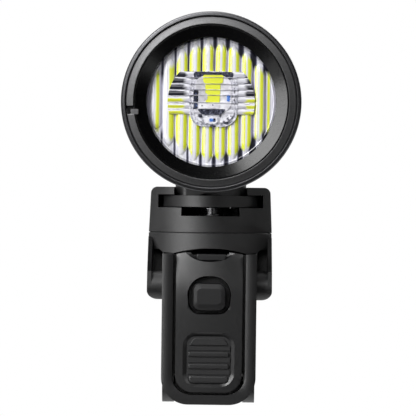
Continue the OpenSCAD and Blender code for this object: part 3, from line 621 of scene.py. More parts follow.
def round_edges(piece, radius, segments, angle):
    merge(piece)
    bevel(piece, radius, segments, angle)


print("plates and cuts ready")

# %% [markdown]
# Rounding the edges.
# A moulded or turned edge is never knife sharp: its small radius is what catches the light. The
# solids have sharp edges, so a copy of each outer one is merged, its flat triangles are dissolved
# into whole faces, and a bevel rounds what is left. Modelling them again would only repeat the
# solids' own shapes. On turned pieces the normals are then laid round the lamp's axis, so that
# the flat facets of the solid don't show.

# %% Rounding helper
FLAT_ANGLE = 0.6
SIDEWAYS_MOST = 0.05


def from_axis(point):
    return Vector((point.x, 0.0, point.z - LAMP_Z * MM)).normalized()


def turned_normals(piece):
    mesh = piece.data
    normals = [Vector(corner.vector) for corner in mesh.corner_normals]
    for face in mesh.polygons:
        outward = from_axis(face.center)
        if abs(outward.cross(face.normal).y) > SIDEWAYS_MOST:
            continue
        lean = face.normal.y
        across = math.copysign(math.sqrt(max(1.0 - lean ** 2, 0.0)), outward.dot(face.normal))
        for corner in face.loop_indices:
            point = mesh.vertices[mesh.loops[corner].vertex_index].co
            normals[corner] = from_axis(point) * across + Vector((0.0, lean, 0.0))
    mesh.normals_split_custom_set(normals)


def softened(solid, radius, segments=3, angle=28.0, turned=False):
    piece = copied(frame["nodes"][solid], solid + "_rounded")
    piece.parent = None
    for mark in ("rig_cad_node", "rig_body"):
        if mark in piece:
            del piece[mark]
    edit_all()
    bpy.ops.mesh.remove_doubles(threshold=MERGE_REACH * MM)
    bpy.ops.mesh.dissolve_limited(angle_limit=math.radians(FLAT_ANGLE))
    leave_edit()
    bevel(piece, radius, segments, angle, "MITER_ARC")
    if turned:
        bpy.ops.object.shade_smooth_by_angle(angle=math.radians(30))
        turned_normals(piece)
    else:
        even_normals(piece)
    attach(piece, body_of[solid])
    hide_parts(solid)
    return piece


print("faces within", FLAT_ANGLE, "degrees count as flat")

# %% Round the outer solids
edge_radius = {"foot": 0.45, "dock": 0.16, "saddle": 0.16, "jaw": 0.8, "latch": 0.08, "power_button": 0.3,
               "button_surround": 0.2, "port_cover": 0.3}
turned_radius = {"head_housing": 0.25, "battery_tube": 0.3, "tail_cap": 0.4, "bezel_ring": 0.12,
                 "light_shield": 0.1}
rounded_pieces = {}
for solid, radius in (edge_radius | turned_radius).items():
    rounded_pieces[solid] = softened(solid, radius, turned=solid in turned_radius)
print("rounded", len(rounded_pieces), "solids")

# %% [markdown]
# Closing the play.
# The solids keep a quarter of a millimetre or more between moving pieces, and daylight shows
# through it beside the latch, beside the lever and under the dock. Real pieces are moulded to fit
# closely, so these faces are moved towards each other until a dark line is left. The jaw's ears
# get a little more width. Only the latch gets more room, round its screw, so that it can tilt when
# it is pressed.

# %% Close the play
LATCH_SIDE = 4.95
LATCH_WIDER = 1.04
LATCH_SCREW_Y = 6.0
SCREW_HEAD_R = 1.6
SCREW_HOLE_R = 1.1
SCREW_SEAT = 27.9
SCREW_ROOM = 0.45
HOLE_ROOM = 0.24
SADDLE_SIDE = 12.45
SADDLE_SIDE_TOP = 17.0
SADDLE_CLOSER = 0.2
EAR_X, EAR_Y, EAR_Z = 10.4, -15.0, -11.0
EAR_WIDER = 0.4
DOCK_FOOT = 22.6
DOCK_LOWER = 0.28


def push_out(point, distance):
    point.co.x += distance * math.copysign(MM, point.co.x)


for point in rounded_pieces["latch"].data.vertices:
    if near(abs(point.co.x), LATCH_SIDE, 0.1):
        point.co.x *= LATCH_WIDER
    from_screw = math.hypot(point.co.x, point.co.y - LATCH_SCREW_Y * MM)
    if from_screw < SCREW_HEAD_R * MM and near(point.co.z, SCREW_SEAT, 0.2):
        point.co.z -= SCREW_ROOM * MM
    if from_screw < SCREW_HOLE_R * MM:
        wider = 1.0 + HOLE_ROOM * MM / from_screw
        point.co.x *= wider
        point.co.y = LATCH_SCREW_Y * MM + (point.co.y - LATCH_SCREW_Y * MM) * wider
for point in rounded_pieces["saddle"].data.vertices:
    if near(abs(point.co.x), SADDLE_SIDE, 0.15) and point.co.z < SADDLE_SIDE_TOP * MM:
        push_out(point, -SADDLE_CLOSER)
for point in rounded_pieces["jaw"].data.vertices:
    if abs(point.co.x) > EAR_X * MM and point.co.y < EAR_Y * MM and point.co.z < EAR_Z * MM:
        push_out(point, EAR_WIDER)
for point in rounded_pieces["dock"].data.vertices:
    if point.co.z < DOCK_FOOT * MM:
        point.co.z -= DOCK_LOWER * MM
latch_side = max(point.co.x for point in rounded_pieces["latch"].data.vertices)
print("latch sides at", round(latch_side / MM, 2), "mm")

# %% [markdown]
# Draft.
# The sides of a moulded piece lean a little, so that it leaves its mould. Dock and saddle grow
# wider downwards for this. A shear would lean the whole piece, so only its outermost points move.

# %% Lean the sides
DRAFT_FROM = 13.6
DRAFT_OVER = 2.0
drafts = {"dock": (33.9, 0.05, 22.4, 0.54), "saddle": (22.0, 0.34, 4.0, 0.52)}
for solid, (high, at_high, low, at_low) in drafts.items():
    for point in rounded_pieces[solid].data.vertices:
        share = clamped((abs(point.co.x) / MM - DRAFT_FROM) / DRAFT_OVER)
        draft = at_low + (at_high - at_low) * (point.co.z / MM - low) / (high - low)
        push_out(point, share * draft)
    print(solid, "is", round(at_low - at_high, 2), "mm wider at its foot, on each side")

# %% [markdown]
# The fluted lens, its colours.
# The real lens is clear polycarbonate with upright flutes that spread the beam. Seen from the
# front each flute shows a squeezed picture of what lies behind it: the yellow emitter twice, the
# white board between, and lilac or dark gaps where it looks past both. Ray tracing a true lens
# would need the exact inner curves, which nobody can see, so the picture inside each flute is
# painted across its width instead, and a clear coat gives the gloss. Towards the rim the flutes
# look at the bright edge and the dark housing, so there white tips stand between dark gaps.

# %% Where a point lies on its flute
LENS_R = 16.2
FLUTE_PITCH = 2 * LENS_R / 10
FLUTE_SHIFT = 0.7
CLEAR_COAT = {"IOR": 1.58, "Coat Weight": 0.6, "Coat Roughness": 0.06}
tree, surface, place = start_finish("fluted_polycarbonate")
local = add_node(tree, "Mapping", {"Vector": place, "Location": (-FLUTE_SHIFT * MM, 0, -LAMP_Z * MM)})
part = add_node(tree, "SeparateXYZ", {0: local})
drawn_out = add_node(tree, "Mapping", {"Vector": place, "Scale": (1.0, 1.0, 0.22)})
wave = add_node(tree, "TexNoise", {"Vector": drawn_out, "Scale": per_mm(1.6), "Detail": 3.0})
sway = add_node(tree, "MapRange", {"Value": wave, "To Min": -0.07, "To Max": 0.07})
across = add_node(tree, "Math", {0: part.outputs["X"], 1: per_mm(FLUTE_PITCH), 2: sway},
                  operation="MULTIPLY_ADD")
inside = add_node(tree, "Math", {0: across}, operation="FRACT")
middle = add_node(tree, "Math", {0: inside, 1: 0.5}, operation="SUBTRACT")
to_edge = add_node(tree, "Math", {0: middle}, operation="ABSOLUTE")
number = add_node(tree, "Math", {0: across}, operation="FLOOR")
each = add_node(tree, "TexWhiteNoise", {"W": number}, noise_dimensions="1D")
lean = add_node(tree, "MapRange", {"Value": each, "To Min": -0.08, "To Max": 0.08})
spread = add_node(tree, "Math", {0: to_edge, 1: 2.0, 2: lean}, operation="MULTIPLY_ADD")
print("flutes every", FLUTE_PITCH, "mm")

# %% The picture in the flutes
picture = add_node(tree, "ValToRGB", {"Fac": spread}, stops=(
    (0.00, "#f6f6fc"), (0.16, "#dddcec"), (0.22, "#f0f3b4"), (0.30, "#eef64c"), (0.66, "#e6f03a"),
    (0.74, "#eaf080"), (0.80, "#e2e0f0"), (0.90, "#b9b6cc"), (1.00, "#908da6")))
outer = add_node(tree, "ValToRGB", {"Fac": inside}, stops=(
    (0.00, "#b0aec2"), (0.10, "#f6f6fc"), (0.34, "#d2d0e2"), (0.46, "#f4f4fa"), (0.58, "#ecf44e"),
    (0.74, "#e6f03c"), (0.82, "#dcdaea"), (1.00, "#b0aec2")))
from_middle = add_node(tree, "Math", {0: part.outputs["X"]}, operation="ABSOLUTE")
far = add_node(tree, "MapRange", {"Value": from_middle, "From Min": 10.4 * MM, "From Max": 11.0 * MM})
long_part = add_node(tree, "Mix", {0: far, 6: picture, 7: outer}, data_type="RGBA")
right_end = add_node(tree, "MapRange", {"Value": part.outputs["X"], "From Min": 13.2 * MM,
                                        "From Max": 15.6 * MM})
right_picture = add_node(tree, "ValToRGB", {"Fac": right_end}, stops=(
    (0.00, "#c6c4da"), (0.08, "#e6f03c"), (0.26, "#ecf44e"), (0.34, "#b9b6cc"), (0.46, "#f4f4fa"),
    (0.70, "#c9c7da"), (0.84, "#f0f0f8"), (1.00, "#8a889c")))
past_right = add_node(tree, "Math", {0: right_end, 1: 0.01}, operation="GREATER_THAN")
ended = add_node(tree, "Mix", {0: past_right, 6: long_part, 7: right_picture}, data_type="RGBA")
high = add_node(tree, "MapRange", {"Value": part.outputs["Z"], "From Min": 4.0 * MM, "From Max": 7.0 * MM})
left = add_node(tree, "MapRange", {"Value": part.outputs["X"], "From Min": 2.5 * MM, "From Max": -1.5 * MM})
valley = add_node(tree, "MapRange", {"Value": spread, "From Min": 0.76, "From Max": 0.84})
upper_left = add_node(tree, "Math", {0: high, 1: left}, operation="MULTIPLY")
shadow = add_node(tree, "Math", {0: upper_left, 1: valley}, operation="MULTIPLY")
shaded = add_node(tree, "Mix", {0: shadow, 6: ended, 7: linear("#403f4c")}, data_type="RGBA")
print("flutes painted with", len(tree.nodes), "nodes so far")

# %% Their tips at the rim
by_side = add_node(tree, "Math", {0: part.outputs["X"], 1: per_mm(80.0), 2: spread}, operation="MULTIPLY_ADD")
tips = add_node(tree, "ValToRGB", {"Fac": by_side}, stops=(
    (0.00, "#fbfbff"), (0.34, "#dcdce8"), (0.54, "#f4f4fa"), (0.68, "#8c8ca0"), (0.76, "#3a3a48"),
    (1.00, "#22222b")))
flat = add_node(tree, "VectorMath", {0: local, 1: (1, 0, 1)}, operation="MULTIPLY")
radius = add_node(tree, "VectorMath", {0: flat}, operation="LENGTH")
scallop = add_node(tree, "Math", {0: spread, 1: 2.0}, operation="POWER")
arched = add_node(tree, "Math", {0: scallop, 1: 0.10, 2: sway}, operation="MULTIPLY_ADD")
reach = add_node(tree, "Math", {0: radius, 1: per_mm(LENS_R), 2: arched}, operation="MULTIPLY_ADD")
near_rim = add_node(tree, "MapRange", {"Value": reach, "From Min": 0.86, "From Max": 0.91})
off_level = add_node(tree, "Math", {0: part.outputs["Z"]}, operation="ABSOLUTE")
at_ends = add_node(tree, "MapRange", {"Value": off_level, "From Min": 6.5 * MM, "From Max": 8.0 * MM})
tip_share = add_node(tree, "Math", {0: near_rim, 1: at_ends}, operation="MULTIPLY")
blend = add_node(tree, "Mix", {0: tip_share, 6: shaded, 7: tips}, data_type="RGBA")
plug(surface, {"Base Color": blend, "Roughness": 0.16, **CLEAR_COAT})
print("fluted polycarbonate has", len(tree.nodes), "nodes")

# %% [markdown]
# The flutes.
# One flute is a rod with tapered ends: a cylinder whose two end faces are pulled out and shrunk
# three times. The others are copies, stretched to the chord of the lens at their place. A single
# displaced disc would be quicker, but it can't give the scalloped tips along the rim.

# %% Model the flutes
LENS_Y = -48.6
FLUTE_COUNT = 9
FLUTE_HALF = 16.0
FLUTE_R = 1.0
FLUTE_WIDE = 1.56
RIM_GAP = 0.6
TIP_STEPS = ((2.2, 0.80), (1.2, 0.55), (0.6, 0.40))
TIP_LENGTH = sum(step for step, factor in TIP_STEPS)
straight = 2 * (FLUTE_HALF - TIP_LENGTH)
bpy.ops.mesh.primitive_cylinder_add(vertices=24, radius=FLUTE_R * MM, depth=straight * MM)
flute = begin("flute")
for side in (1, -1):
    choose(flute, "FACE", lambda centre, normal: normal.z * side > FACING)
    for step, factor in TIP_STEPS:
        pull_out((0, 0, step * side))
        shrink((factor, factor, 1.0), (0, 0, FLUTE_HALF * side))
    leave_edit()
flutes = []
for number in range(FLUTE_COUNT):
    flute_x = (number - FLUTE_COUNT / 2) * FLUTE_PITCH + FLUTE_SHIFT
    chord = math.sqrt((LENS_R - RIM_GAP) ** 2 - flute_x ** 2)
    twin = copied(flute, "flute_copy")
    twin.location = (flute_x * MM, (LENS_Y + FLUTE_R) * MM, LAMP_Z * MM)
    twin.scale = (FLUTE_WIDE, 1.0, chord / FLUTE_HALF)
    bpy.ops.object.transform_apply()
    flutes.append(twin)
bpy.data.objects.remove(flute)
print(len(flutes), "flutes")

# %% The plate behind the flutes
lens_plate = facing_disc("lens_plate", LENS_R, 2.0, LENS_Y + 1.7, 96)
choose(lens_plate, "FACE", lambda centre, normal: normal.y < -FACING)
bpy.ops.mesh.inset(thickness=0.5 * MM, depth=0.25 * MM)
bpy.ops.mesh.inset(thickness=0.3 * MM, depth=-0.25 * MM)
leave_edit()
lens_flutes = one_mesh("lens_flutes", flutes + [lens_plate])
settle(lens_flutes, "lamp", "lens_clear", "fluted_polycarbonate", "front_lens")

# %% [markdown]
# The middle optic, its colours.
# In front of the emitter the lens has a second optic, a round disc with a flat top and bottom, cut
# into seven level ribs. Its upper ribs show a painted reflection of the dark roof of the housing,
# its lower ones the yellow emitter, and towards the middle everything turns pale. Painted
# highlights run along the valleys between the ribs. As with the flutes, the picture is painted by
# place: the height gives the rib, and the distance from the middle mixes dark, pale and yellow.

# %% Ribbed polycarbonate
OPTIC_R = 10.9
OPTIC_TOP = 7.6
OPTIC_LOW = -3.2
RIB_COUNT = 7
RIB_PITCH = (OPTIC_TOP - OPTIC_LOW) / RIB_COUNT
tree, surface, place = start_finish("ribbed_polycarbonate")
local = add_node(tree, "Mapping", {"Vector": place, "Location": (0, 0, -(LAMP_Z + OPTIC_LOW) * MM)})
part = add_node(tree, "SeparateXYZ", {0: local})
drawn_out = add_node(tree, "Mapping", {"Vector": place, "Scale": (0.35, 1.0, 1.0)})
fleck = add_node(tree, "TexNoise", {"Vector": drawn_out, "Scale": per_mm(0.9), "Detail": 4.0})
sway = add_node(tree, "MapRange", {"Value": fleck, "To Min": -0.45, "To Max": 0.45})
height = add_node(tree, "Math", {0: part.outputs["Z"], 1: per_mm(RIB_PITCH)}, operation="MULTIPLY")
inside = add_node(tree, "Math", {0: height}, operation="FRACT")
rough_in = add_node(tree, "Math", {0: sway, 1: 0.5, 2: inside}, operation="MULTIPLY_ADD")
dark = add_node(tree, "ValToRGB", {"Fac": rough_in}, stops=(
    (0.00, "#e9e9f0"), (0.10, "#55565f"), (0.22, "#2a2b33"), (0.70, "#34353e"), (0.84, "#8d8d97"),
    (0.94, "#f4f4fa")))
low = add_node(tree, "ValToRGB", {"Fac": rough_in}, stops=(
    (0.00, "#f2f2f0"), (0.12, "#e9ef5a"), (0.50, "#e2ea34"), (0.60, "#cfcde0"), (0.76, "#f4f4fa"),
    (0.88, "#6d6b78"), (0.96, "#f0f0f6")))
pale = add_node(tree, "ValToRGB", {"Fac": rough_in}, stops=(
    (0.00, "#8f8f9a"), (0.12, "#e2e1ea"), (0.60, "#cfcfd8"), (0.85, "#f2f2f8"), (0.95, "#9a9aa6")))
upper = add_node(tree, "MapRange", {"Value": height, "From Min": 2.95, "From Max": 3.05})
banded = add_node(tree, "Mix", {0: upper, 6: low, 7: dark}, data_type="RGBA")
offset = add_node(tree, "Math", {0: part.outputs["X"], 1: 0.9 * MM}, operation="SUBTRACT")
side = add_node(tree, "Math", {0: offset}, operation="ABSOLUTE")
reach = add_node(tree, "Math", {0: sway, 1: 3.0 * MM, 2: side}, operation="MULTIPLY_ADD")
outward = add_node(tree, "MapRange", {"Value": reach, "From Min": 7.2 * MM, "From Max": 8.0 * MM})
blend = add_node(tree, "Mix", {0: outward, 6: pale, 7: banded}, data_type="RGBA")
plug(surface, {"Base Color": blend, "Roughness": 0.12, **CLEAR_COAT})
print(RIB_COUNT, "ribs every", round(RIB_PITCH, 2), "mm")

# %% [markdown]
# The middle optic, its shape.
# The disc is a cylinder cut flat by two bisects. More bisects lay level lines over it, and the
# points of each rib are lifted along a sine, so that the ribs fill the disc to its very edge.
# Rods laid side by side would be easier, but their ends would show as fingers.

# %% Model the middle optic
OPTIC_Y = LENS_Y - 0.35
RIB_RISE = 0.35
RIB_STEPS = 6
lens_optic = facing_disc("lens_optic", OPTIC_R, 1.8, OPTIC_Y + 1.25, 128)
for cut_z, facing in ((LAMP_Z + OPTIC_TOP, 1), (LAMP_Z + OPTIC_LOW, -1)):
    edit_all()
    bpy.ops.mesh.bisect(plane_co=(0, 0, cut_z * MM), plane_no=(0, 0, facing), use_fill=True, clear_outer=True)
    leave_edit()
grid_cuts(lens_optic, (0, 0, 1), [LAMP_Z + OPTIC_LOW + step * RIB_PITCH / RIB_STEPS
                                  for step in range(1, RIB_COUNT * RIB_STEPS)])
optic_front = min(point.co.y for point in lens_optic.data.vertices)
for point in lens_optic.data.vertices:
    if point.co.y < optic_front + 0.01 * MM:
        share = (point.co.z / MM - LAMP_Z - OPTIC_LOW) / RIB_PITCH
        point.co.y -= RIB_RISE * abs(math.sin(math.pi * share)) * MM
settle(lens_optic, "lamp", "lens_clear", "ribbed_polycarbonate", angle=60.0)

# %% [markdown]
# The dome and the emitter behind it.
# In the middle of the optic a rounded window shows the light source itself: a yellow phosphor
# field on a pale package, dark solder pads at both sides, a dark slit below and a small part
# under it. Each is a thin rounded plate with a fine rim, laid in front of the one before. They
# could be painted like the flutes, but plates have edges of their own that catch the light.
# The window's pale clear edges and the pale lines of the ribs across it are painted highlights,
# and its dark roof is a painted reflection of the housing's dark roof.

# %% Finishes of the dome
def flecked(name, stops, fleck, rough):
    tree, surface, place = start_finish(name)
    noise = add_node(tree, "TexNoise", {"Vector": place, "Scale": per_mm(fleck), "Detail": 4.0})
    shade = add_node(tree, "ValToRGB", {"Fac": noise}, stops=stops)
    plug(surface, {"Base Color": shade, "Roughness": rough, **CLEAR_COAT})


# The clear edges and the rib lines are painted highlights; the roof finish is a painted reflection of the
# housing's dark roof.
flecked("clear_dome_edge", ((0.33, "#5c5d68"), (0.45, "#b4b5c0"), (0.58, "#eeeef6")), 0.8, 0.10)
flecked("clear_dome_inner_edge", ((0.38, "#4a4b56"), (0.5, "#d5d5df"), (0.62, "#f4f4fa")), 0.7, 0.10)
flecked("dome_roof", ((0.35, "#22232b"), (0.6, "#4e5060"), (0.7, "#8a8c9c")), 0.5, 0.14)
flecked("clear_rib_line", ((0.40, "#8f8f9c"), (0.58, "#dcdce6")), 2.0, 0.12)
flecked("pale_emitter_package", ((0.35, "#d6d5dc"), (0.5, "#eceaf2"), (0.62, "#fafaff")), 1.6, 0.25)
flecked("grey_lead_frame", ((0.35, "#bdbcc2"), (0.6, "#d2d1d6")), 1.2, 0.30)
flecked("dark_solder_pad", ((0.40, "#23242c"), (0.58, "#3d4254"), (0.66, "#5a6a96")), 0.5, 0.22)
flecked("blue_component", ((0.40, "#2f67c8"), (0.60, "#8fb6f2")), 0.5, 0.22)
print(len(finish), "finishes in all")

# %% Model the dome
DOME_Y = OPTIC_Y - 0.05
LAYER = 0.02
PACKAGE_Y = DOME_Y - 3 * LAYER
dome = rounded_plate("dome_edge", (0.55, LAMP_Z + 0.75), (12.0, 13.8), 3.6, DOME_Y, 0.9)
raised_rim(dome, 0.30, 0.35)
settle(dome, "lamp", "lens_clear", "clear_dome_edge")
inner_dome = rounded_plate("dome_inner_edge", (0.55, LAMP_Z + 0.95), (10.6, 12.2), 3.2, DOME_Y - LAYER, 0.7)
raised_rim(inner_dome, 0.25, 0.30)
settle(inner_dome, "lamp", "lens_clear", "clear_dome_inner_edge")
# The roof plate is a painted reflection of the housing's dark roof.
roof = rounded_plate("dome_roof", (0.5, LAMP_Z + 6.55), (10.2, 1.9), 0.8, DOME_Y - 2 * LAYER, 0.5, 0.94)
settle(roof, "lamp", "lens_clear", "dome_roof")
package = rounded_plate("emitter_package", (0.45, LAMP_Z + 2.0), (9.2, 9.0), 2.6, PACKAGE_Y, 0.5)
settle(package, "lamp", "lens_clear", "pale_emitter_package")

# %% Model the emitter and its neighbours
emitter_parts = (
    ("lead_left", (-2.65, 2.9), (2.3, 5.6), 0.8, "grey_lead_frame", 0.08),
    ("phosphor", (0.35, 2.6), (3.9, 5.7), 0.4, "phosphor_silicone", 0.14, 0.88),
    ("phosphor_top", (0.42, 5.7), (5.2, 2.1), 0.5, "phosphor_silicone", 0.15, 0.92),
    ("notch", (-1.45, 1.3), (0.9, 1.7), 0.4, "grey_lead_frame", 0.18),
    ("strip", (-0.4, -0.95), (5.0, 1.15), 0.3, "pale_emitter_package", 0.12),
    ("dot_left", (-2.3, -0.95), (0.28, 0.34), 0.1, "dark_solder_pad", 0.16),
    ("dot_right", (0.4, -0.75), (0.28, 0.34), 0.1, "dark_solder_pad", 0.16),
    ("pad_upper", (-3.85, 2.3), (1.2, 1.2), 0.3, "dark_solder_pad", 0.14),
    ("pad_middle", (-3.85, 0.75), (1.1, 1.5), 0.2, "dark_solder_pad", 0.14),
    ("pad_lower", (-3.85, -0.95), (0.9, 1.5), 0.25, "dark_solder_pad", 0.14),
    ("mark_right", (4.25, 1.0), (0.8, 1.7), 0.35, "blue_component", 0.14),
    ("slit", (0.1, -2.45), (7.4, 1.45), 0.65, "dome_roof", 0.12, 0.66),
    ("lower_edge", (-0.1, -4.5), (4.0, 2.1), 1.0, "clear_dome_edge", 0.10),
    ("lower_case", (-0.1, -4.5), (3.5, 1.7), 0.8, "pale_emitter_package", 0.14),
    ("lower_part", (0.1, -4.5), (1.0, 0.8), 0.2, "blue_component", 0.20),
    ("lower_dot", (0.8, -4.5), (0.6, 0.9), 0.2, "dark_solder_pad", 0.22),
    ("speck_left", (-2.6, -3.7), (0.9, 0.4), 0.15, "dome_roof", 0.12),
    ("speck_right", (3.7, -5.2), (1.0, 0.5), 0.2, "dome_roof", 0.12),
    ("speck_low", (0.5, -6.0), (1.4, 0.35), 0.15, "dome_roof", 0.12),
)
for name, (part_x, part_z), size, corner, finish_name, rise, *taper in emitter_parts:
    plate = rounded_plate("emitter_" + name, (part_x, LAMP_Z + part_z), size, corner, PACKAGE_Y - rise, 0.4,
                          *taper)
    raised_rim(plate, 0.06, 0.04)
    settle(plate, "lamp", "led_phosphor", finish_name)

# %% Lines of the ribs across the dome
# These lines are painted highlights along the valleys between the ribs.
LINE_Y = DOME_Y - 0.30
rib_lines = []
for line_z in (6.1, 4.5, 3.05, 1.7, -0.15):
    rib_lines.append(rounded_plate("rib_line", (0.3, LAMP_Z + line_z), (12.2, 0.14), 0.05, LINE_Y, 0.5))
settle(one_mesh("rib_lines", rib_lines), "lamp", "lens_clear", "clear_rib_line")

# %% [markdown]
# The tab in the notch.
# A small tab of the grey ring is bent inwards over the key of the black cone, so that the cone
# can't turn. The solid has the notch and the key only. The tab could be cut from the ring, but a
# plate with rounded corners and edges is simpler and looks the same.

# %% Model the tab
ring_tab = rounded_plate("ring_tab", (-19.05, 52.5), (1.9, 1.35), 0.15, -51.55, 0.65)
round_edges(ring_tab, 0.08, 2, 30.0)
settle(ring_tab, "lamp", slot_of["bezel_ring"], "satin_anodised_ring", "bezel_ring")

# %% [markdown]
# The lever's panel.
# The lever is a moulded frame with a crowned panel in it. The panel has a scoop at its top, a well
# round the release button and a dish for the thumb, all with soft edges. A plate of the panel's
# outline is cut by three tapered bodies, its edges are rounded, and then bisects lay a grid over
# it, so that its points can be lifted into a gentle crown. The crown matters more than it
# seems: without it the panel reflects one spot only and looks like card.

# %% Outline and hollows of the panel
LEVER_Y = -30.0
PANEL_W = 17.1
PANEL_TOP = 17.5
PANEL_LOW = -18.7
PANEL_T = 3.4
PANEL_CORNER = 4.4
ARCH_R = 45.0
BUTTON_Z = 5.85
GRIP_Z = -10.3
CUT_ABOVE = 0.6
END_REACH = 0.001


def round_corners(piece, end_z, corner):
    choose(piece, "VERT", lambda place: abs(place.z - end_z) < END_REACH)
    bpy.ops.mesh.bevel(affect="VERTICES", offset=corner * MM, segments=10)


def tapered_hollow(middle_z, size, corners, depth, factors, narrow=1.0):
    hollow = upright_plane("hollow", size, (0, LEVER_Y - CUT_ABOVE, middle_z))
    for side, corner, squeeze in ((1, corners[0], 1.0), (-1, corners[1], narrow)):
        end_z = middle_z + side * size[1] / 2
        for point in hollow.data.vertices:
            if near(point.co.z, end_z, END_REACH):
                point.co.x *= squeeze
        round_corners(hollow, end_z, corner)
        leave_edit()
    edit_all()
    pull_out((0, depth + CUT_ABOVE, 0))
    shrink((factors[0], 1.0, factors[1]), (0, LEVER_Y + depth, middle_z))
    leave_edit()
    return hollow


panel_size = (PANEL_W, PANEL_TOP - PANEL_LOW)
panel_middle = (0, LEVER_Y + PANEL_T, (PANEL_TOP + PANEL_LOW) / 2)
panel = upright_plane("lever_panel_crowned", panel_size, panel_middle)
round_corners(panel, PANEL_LOW, PANEL_CORNER)
edit_all()
pull_out((0, -PANEL_T, 0))
leave_edit()
print("panel outline:", len(panel.data.polygons), "faces")

# %% Cut the panel
WELL_Z = 6.2
well = tapered_hollow(WELL_Z, (11.4, 10.0), (5.0, 2.8), 2.6, (0.92, 0.92), 0.92)
cut_away(panel, well)
dish = tapered_hollow(GRIP_Z, (15.0, 15.6), (4.0, 4.0), 0.75, (0.74, 0.76))
cut_away(panel, dish)
bpy.ops.mesh.primitive_uv_sphere_add(segments=64, ring_count=32, radius=1.0,
                                     location=(0.1 * MM, (LEVER_Y + 1.2) * MM, (PANEL_TOP + 0.4) * MM))
bpy.context.object.scale = (6.7 * MM, 3.4 * MM, 3.4 * MM)
cut_away(panel, begin("scoop"))
round_edges(panel, 0.6, 5, 17.0)
shaft = rounded_plate("shaft", (0, WELL_Z), (10.0, 8.9), 3.4, LEVER_Y - 1.0, PANEL_T + 2.0)
cut_away(panel, shaft)
print("panel cut:", len(panel.data.polygons), "faces")

# %% Crown the panel
CROWN_LOW = -2.0
CROWN_RISE = 14.0
SIDE_FLAT = 400.0
SIDE_BOW = 330.0
TOP_FROM = 6.0
TOP_BOW = 95.0
TOP_BAND = 0.9
grid_cuts(panel, (1, 0, 0), [-7.6 + 1.9 * step for step in range(9)])
grid_cuts(panel, (0, 0, 1), [-17.5 + 2.5 * step for step in range(14)])
for point in panel.data.vertices:
    from_middle = point.co.x / MM
    height = point.co.z / MM
    front_share = (LEVER_Y + PANEL_T - point.co.y / MM) / PANEL_T
    upper_share = clamped((height - CROWN_LOW) / CROWN_RISE)
    side_fall = from_middle ** 2 / (SIDE_FLAT - SIDE_BOW * upper_share)
    top_fall = max(height - TOP_FROM, 0.0) ** 2 / TOP_BOW
    point.co.y += front_share * (side_fall + top_fall) * MM
    if height > PANEL_TOP - TOP_BAND:
        point.co.z -= sag(ARCH_R, from_middle) * MM
settle(panel, "lever", "lever_plastic", "satin_abs", "lever_panel", angle=35.0)

# %% [markdown]
# The lever's rails.
# The frame's front is crowned like a half-round rail that runs down both sides and along the
# bottom. The height of each point follows from its distance to the panel: none at both edges
# of the rail, full in the middle. A bevel can't do this, because two wide bevels would meet.

# %% Crown the rails
RAIL_IN = 9.35
RAIL_CORNER = 5.2
RAIL_FOOT = -20.1
RAIL_W = 2.8
RAIL_FALL = 0.18
FOOT_LIFT = 0.7
FOOT_REACH = 1.7
FRONT_DEPTH = 2.0
FALL_MOST = 1.2
RAIL_MIDDLE = RAIL_W / 2
frame_piece = softened("lever_frame", 0.15)
rail_lines = [RAIL_IN + step * RAIL_W / 8 for step in range(1, 8)]
grid_cuts(frame_piece, (1, 0, 0), rail_lines + [-line for line in rail_lines])
grid_cuts(frame_piece, (0, 0, 1), [-21.6 + 0.45 * step for step in range(20)])
for point in frame_piece.data.vertices:
    beside = abs(point.co.x) / MM - (RAIL_IN - RAIL_CORNER)
    below = RAIL_FOOT + RAIL_CORNER - point.co.z / MM
    outside = math.hypot(max(beside, 0.0), max(below, 0.0)) - RAIL_CORNER
    lower_share = clamped(below / RAIL_CORNER)
    point.co.z += FOOT_LIFT * lower_share * clamped(1.0 - outside / FOOT_REACH) * MM
    front_share = clamped((LEVER_Y + FRONT_DEPTH - point.co.y / MM) / FRONT_DEPTH)
    fall = RAIL_FALL * (1.0 - lower_share ** 2 * (3.0 - 2.0 * lower_share))
    from_crest = (outside - RAIL_MIDDLE) / RAIL_MIDDLE
    point.co.y += front_share * fall * min(from_crest ** 2, FALL_MOST) * MM
alone(frame_piece)
even_normals(frame_piece)

# %% [markdown]
# Release button and thumb pad.
# The button is the solid's own shape with a wide chamfer, whose front face is shrunk and lifted, so
# that the upper slope is steep and the lower one broad. Its stem is kept straight, because a
# rounded foot would meet the lever's floor when the button is pressed. The thumb pad is a plate in
# the bottom of the dish with four bars: the top one widens downwards, the lowest has rounder
# corners. It could stay as four equal bars, but then the pad would lose its shield-like outline.

# %% Shape the release button
BUTTON_BACK = -28.05
STEM_R = 1.6
FLARE_R = 2.45
button = softened("release_button", 1.0, segments=5)
choose(button, "FACE", lambda centre, normal: normal.y < -FACING and centre.y < LEVER_Y - 1.0)
shrink((0.86, 1.0, 0.70), (0.1, 0, BUTTON_Z + 0.3))
leave_edit()
for point in button.data.vertices:
    across = math.hypot(point.co.x, point.co.z - BUTTON_Z * MM)
    if point.co.y > BUTTON_BACK * MM and STEM_R * MM < across < FLARE_R * MM:
        narrower = STEM_R * MM / across
        point.co.x *= narrower
        point.co.z = BUTTON_Z * MM + (point.co.z - BUTTON_Z * MM) * narrower
even_normals(button)

# %% Round the button's spring and give it a mesh of its own
spring = softened("button_spring", 0.03, segments=1, angle=80.0)
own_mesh(spring)

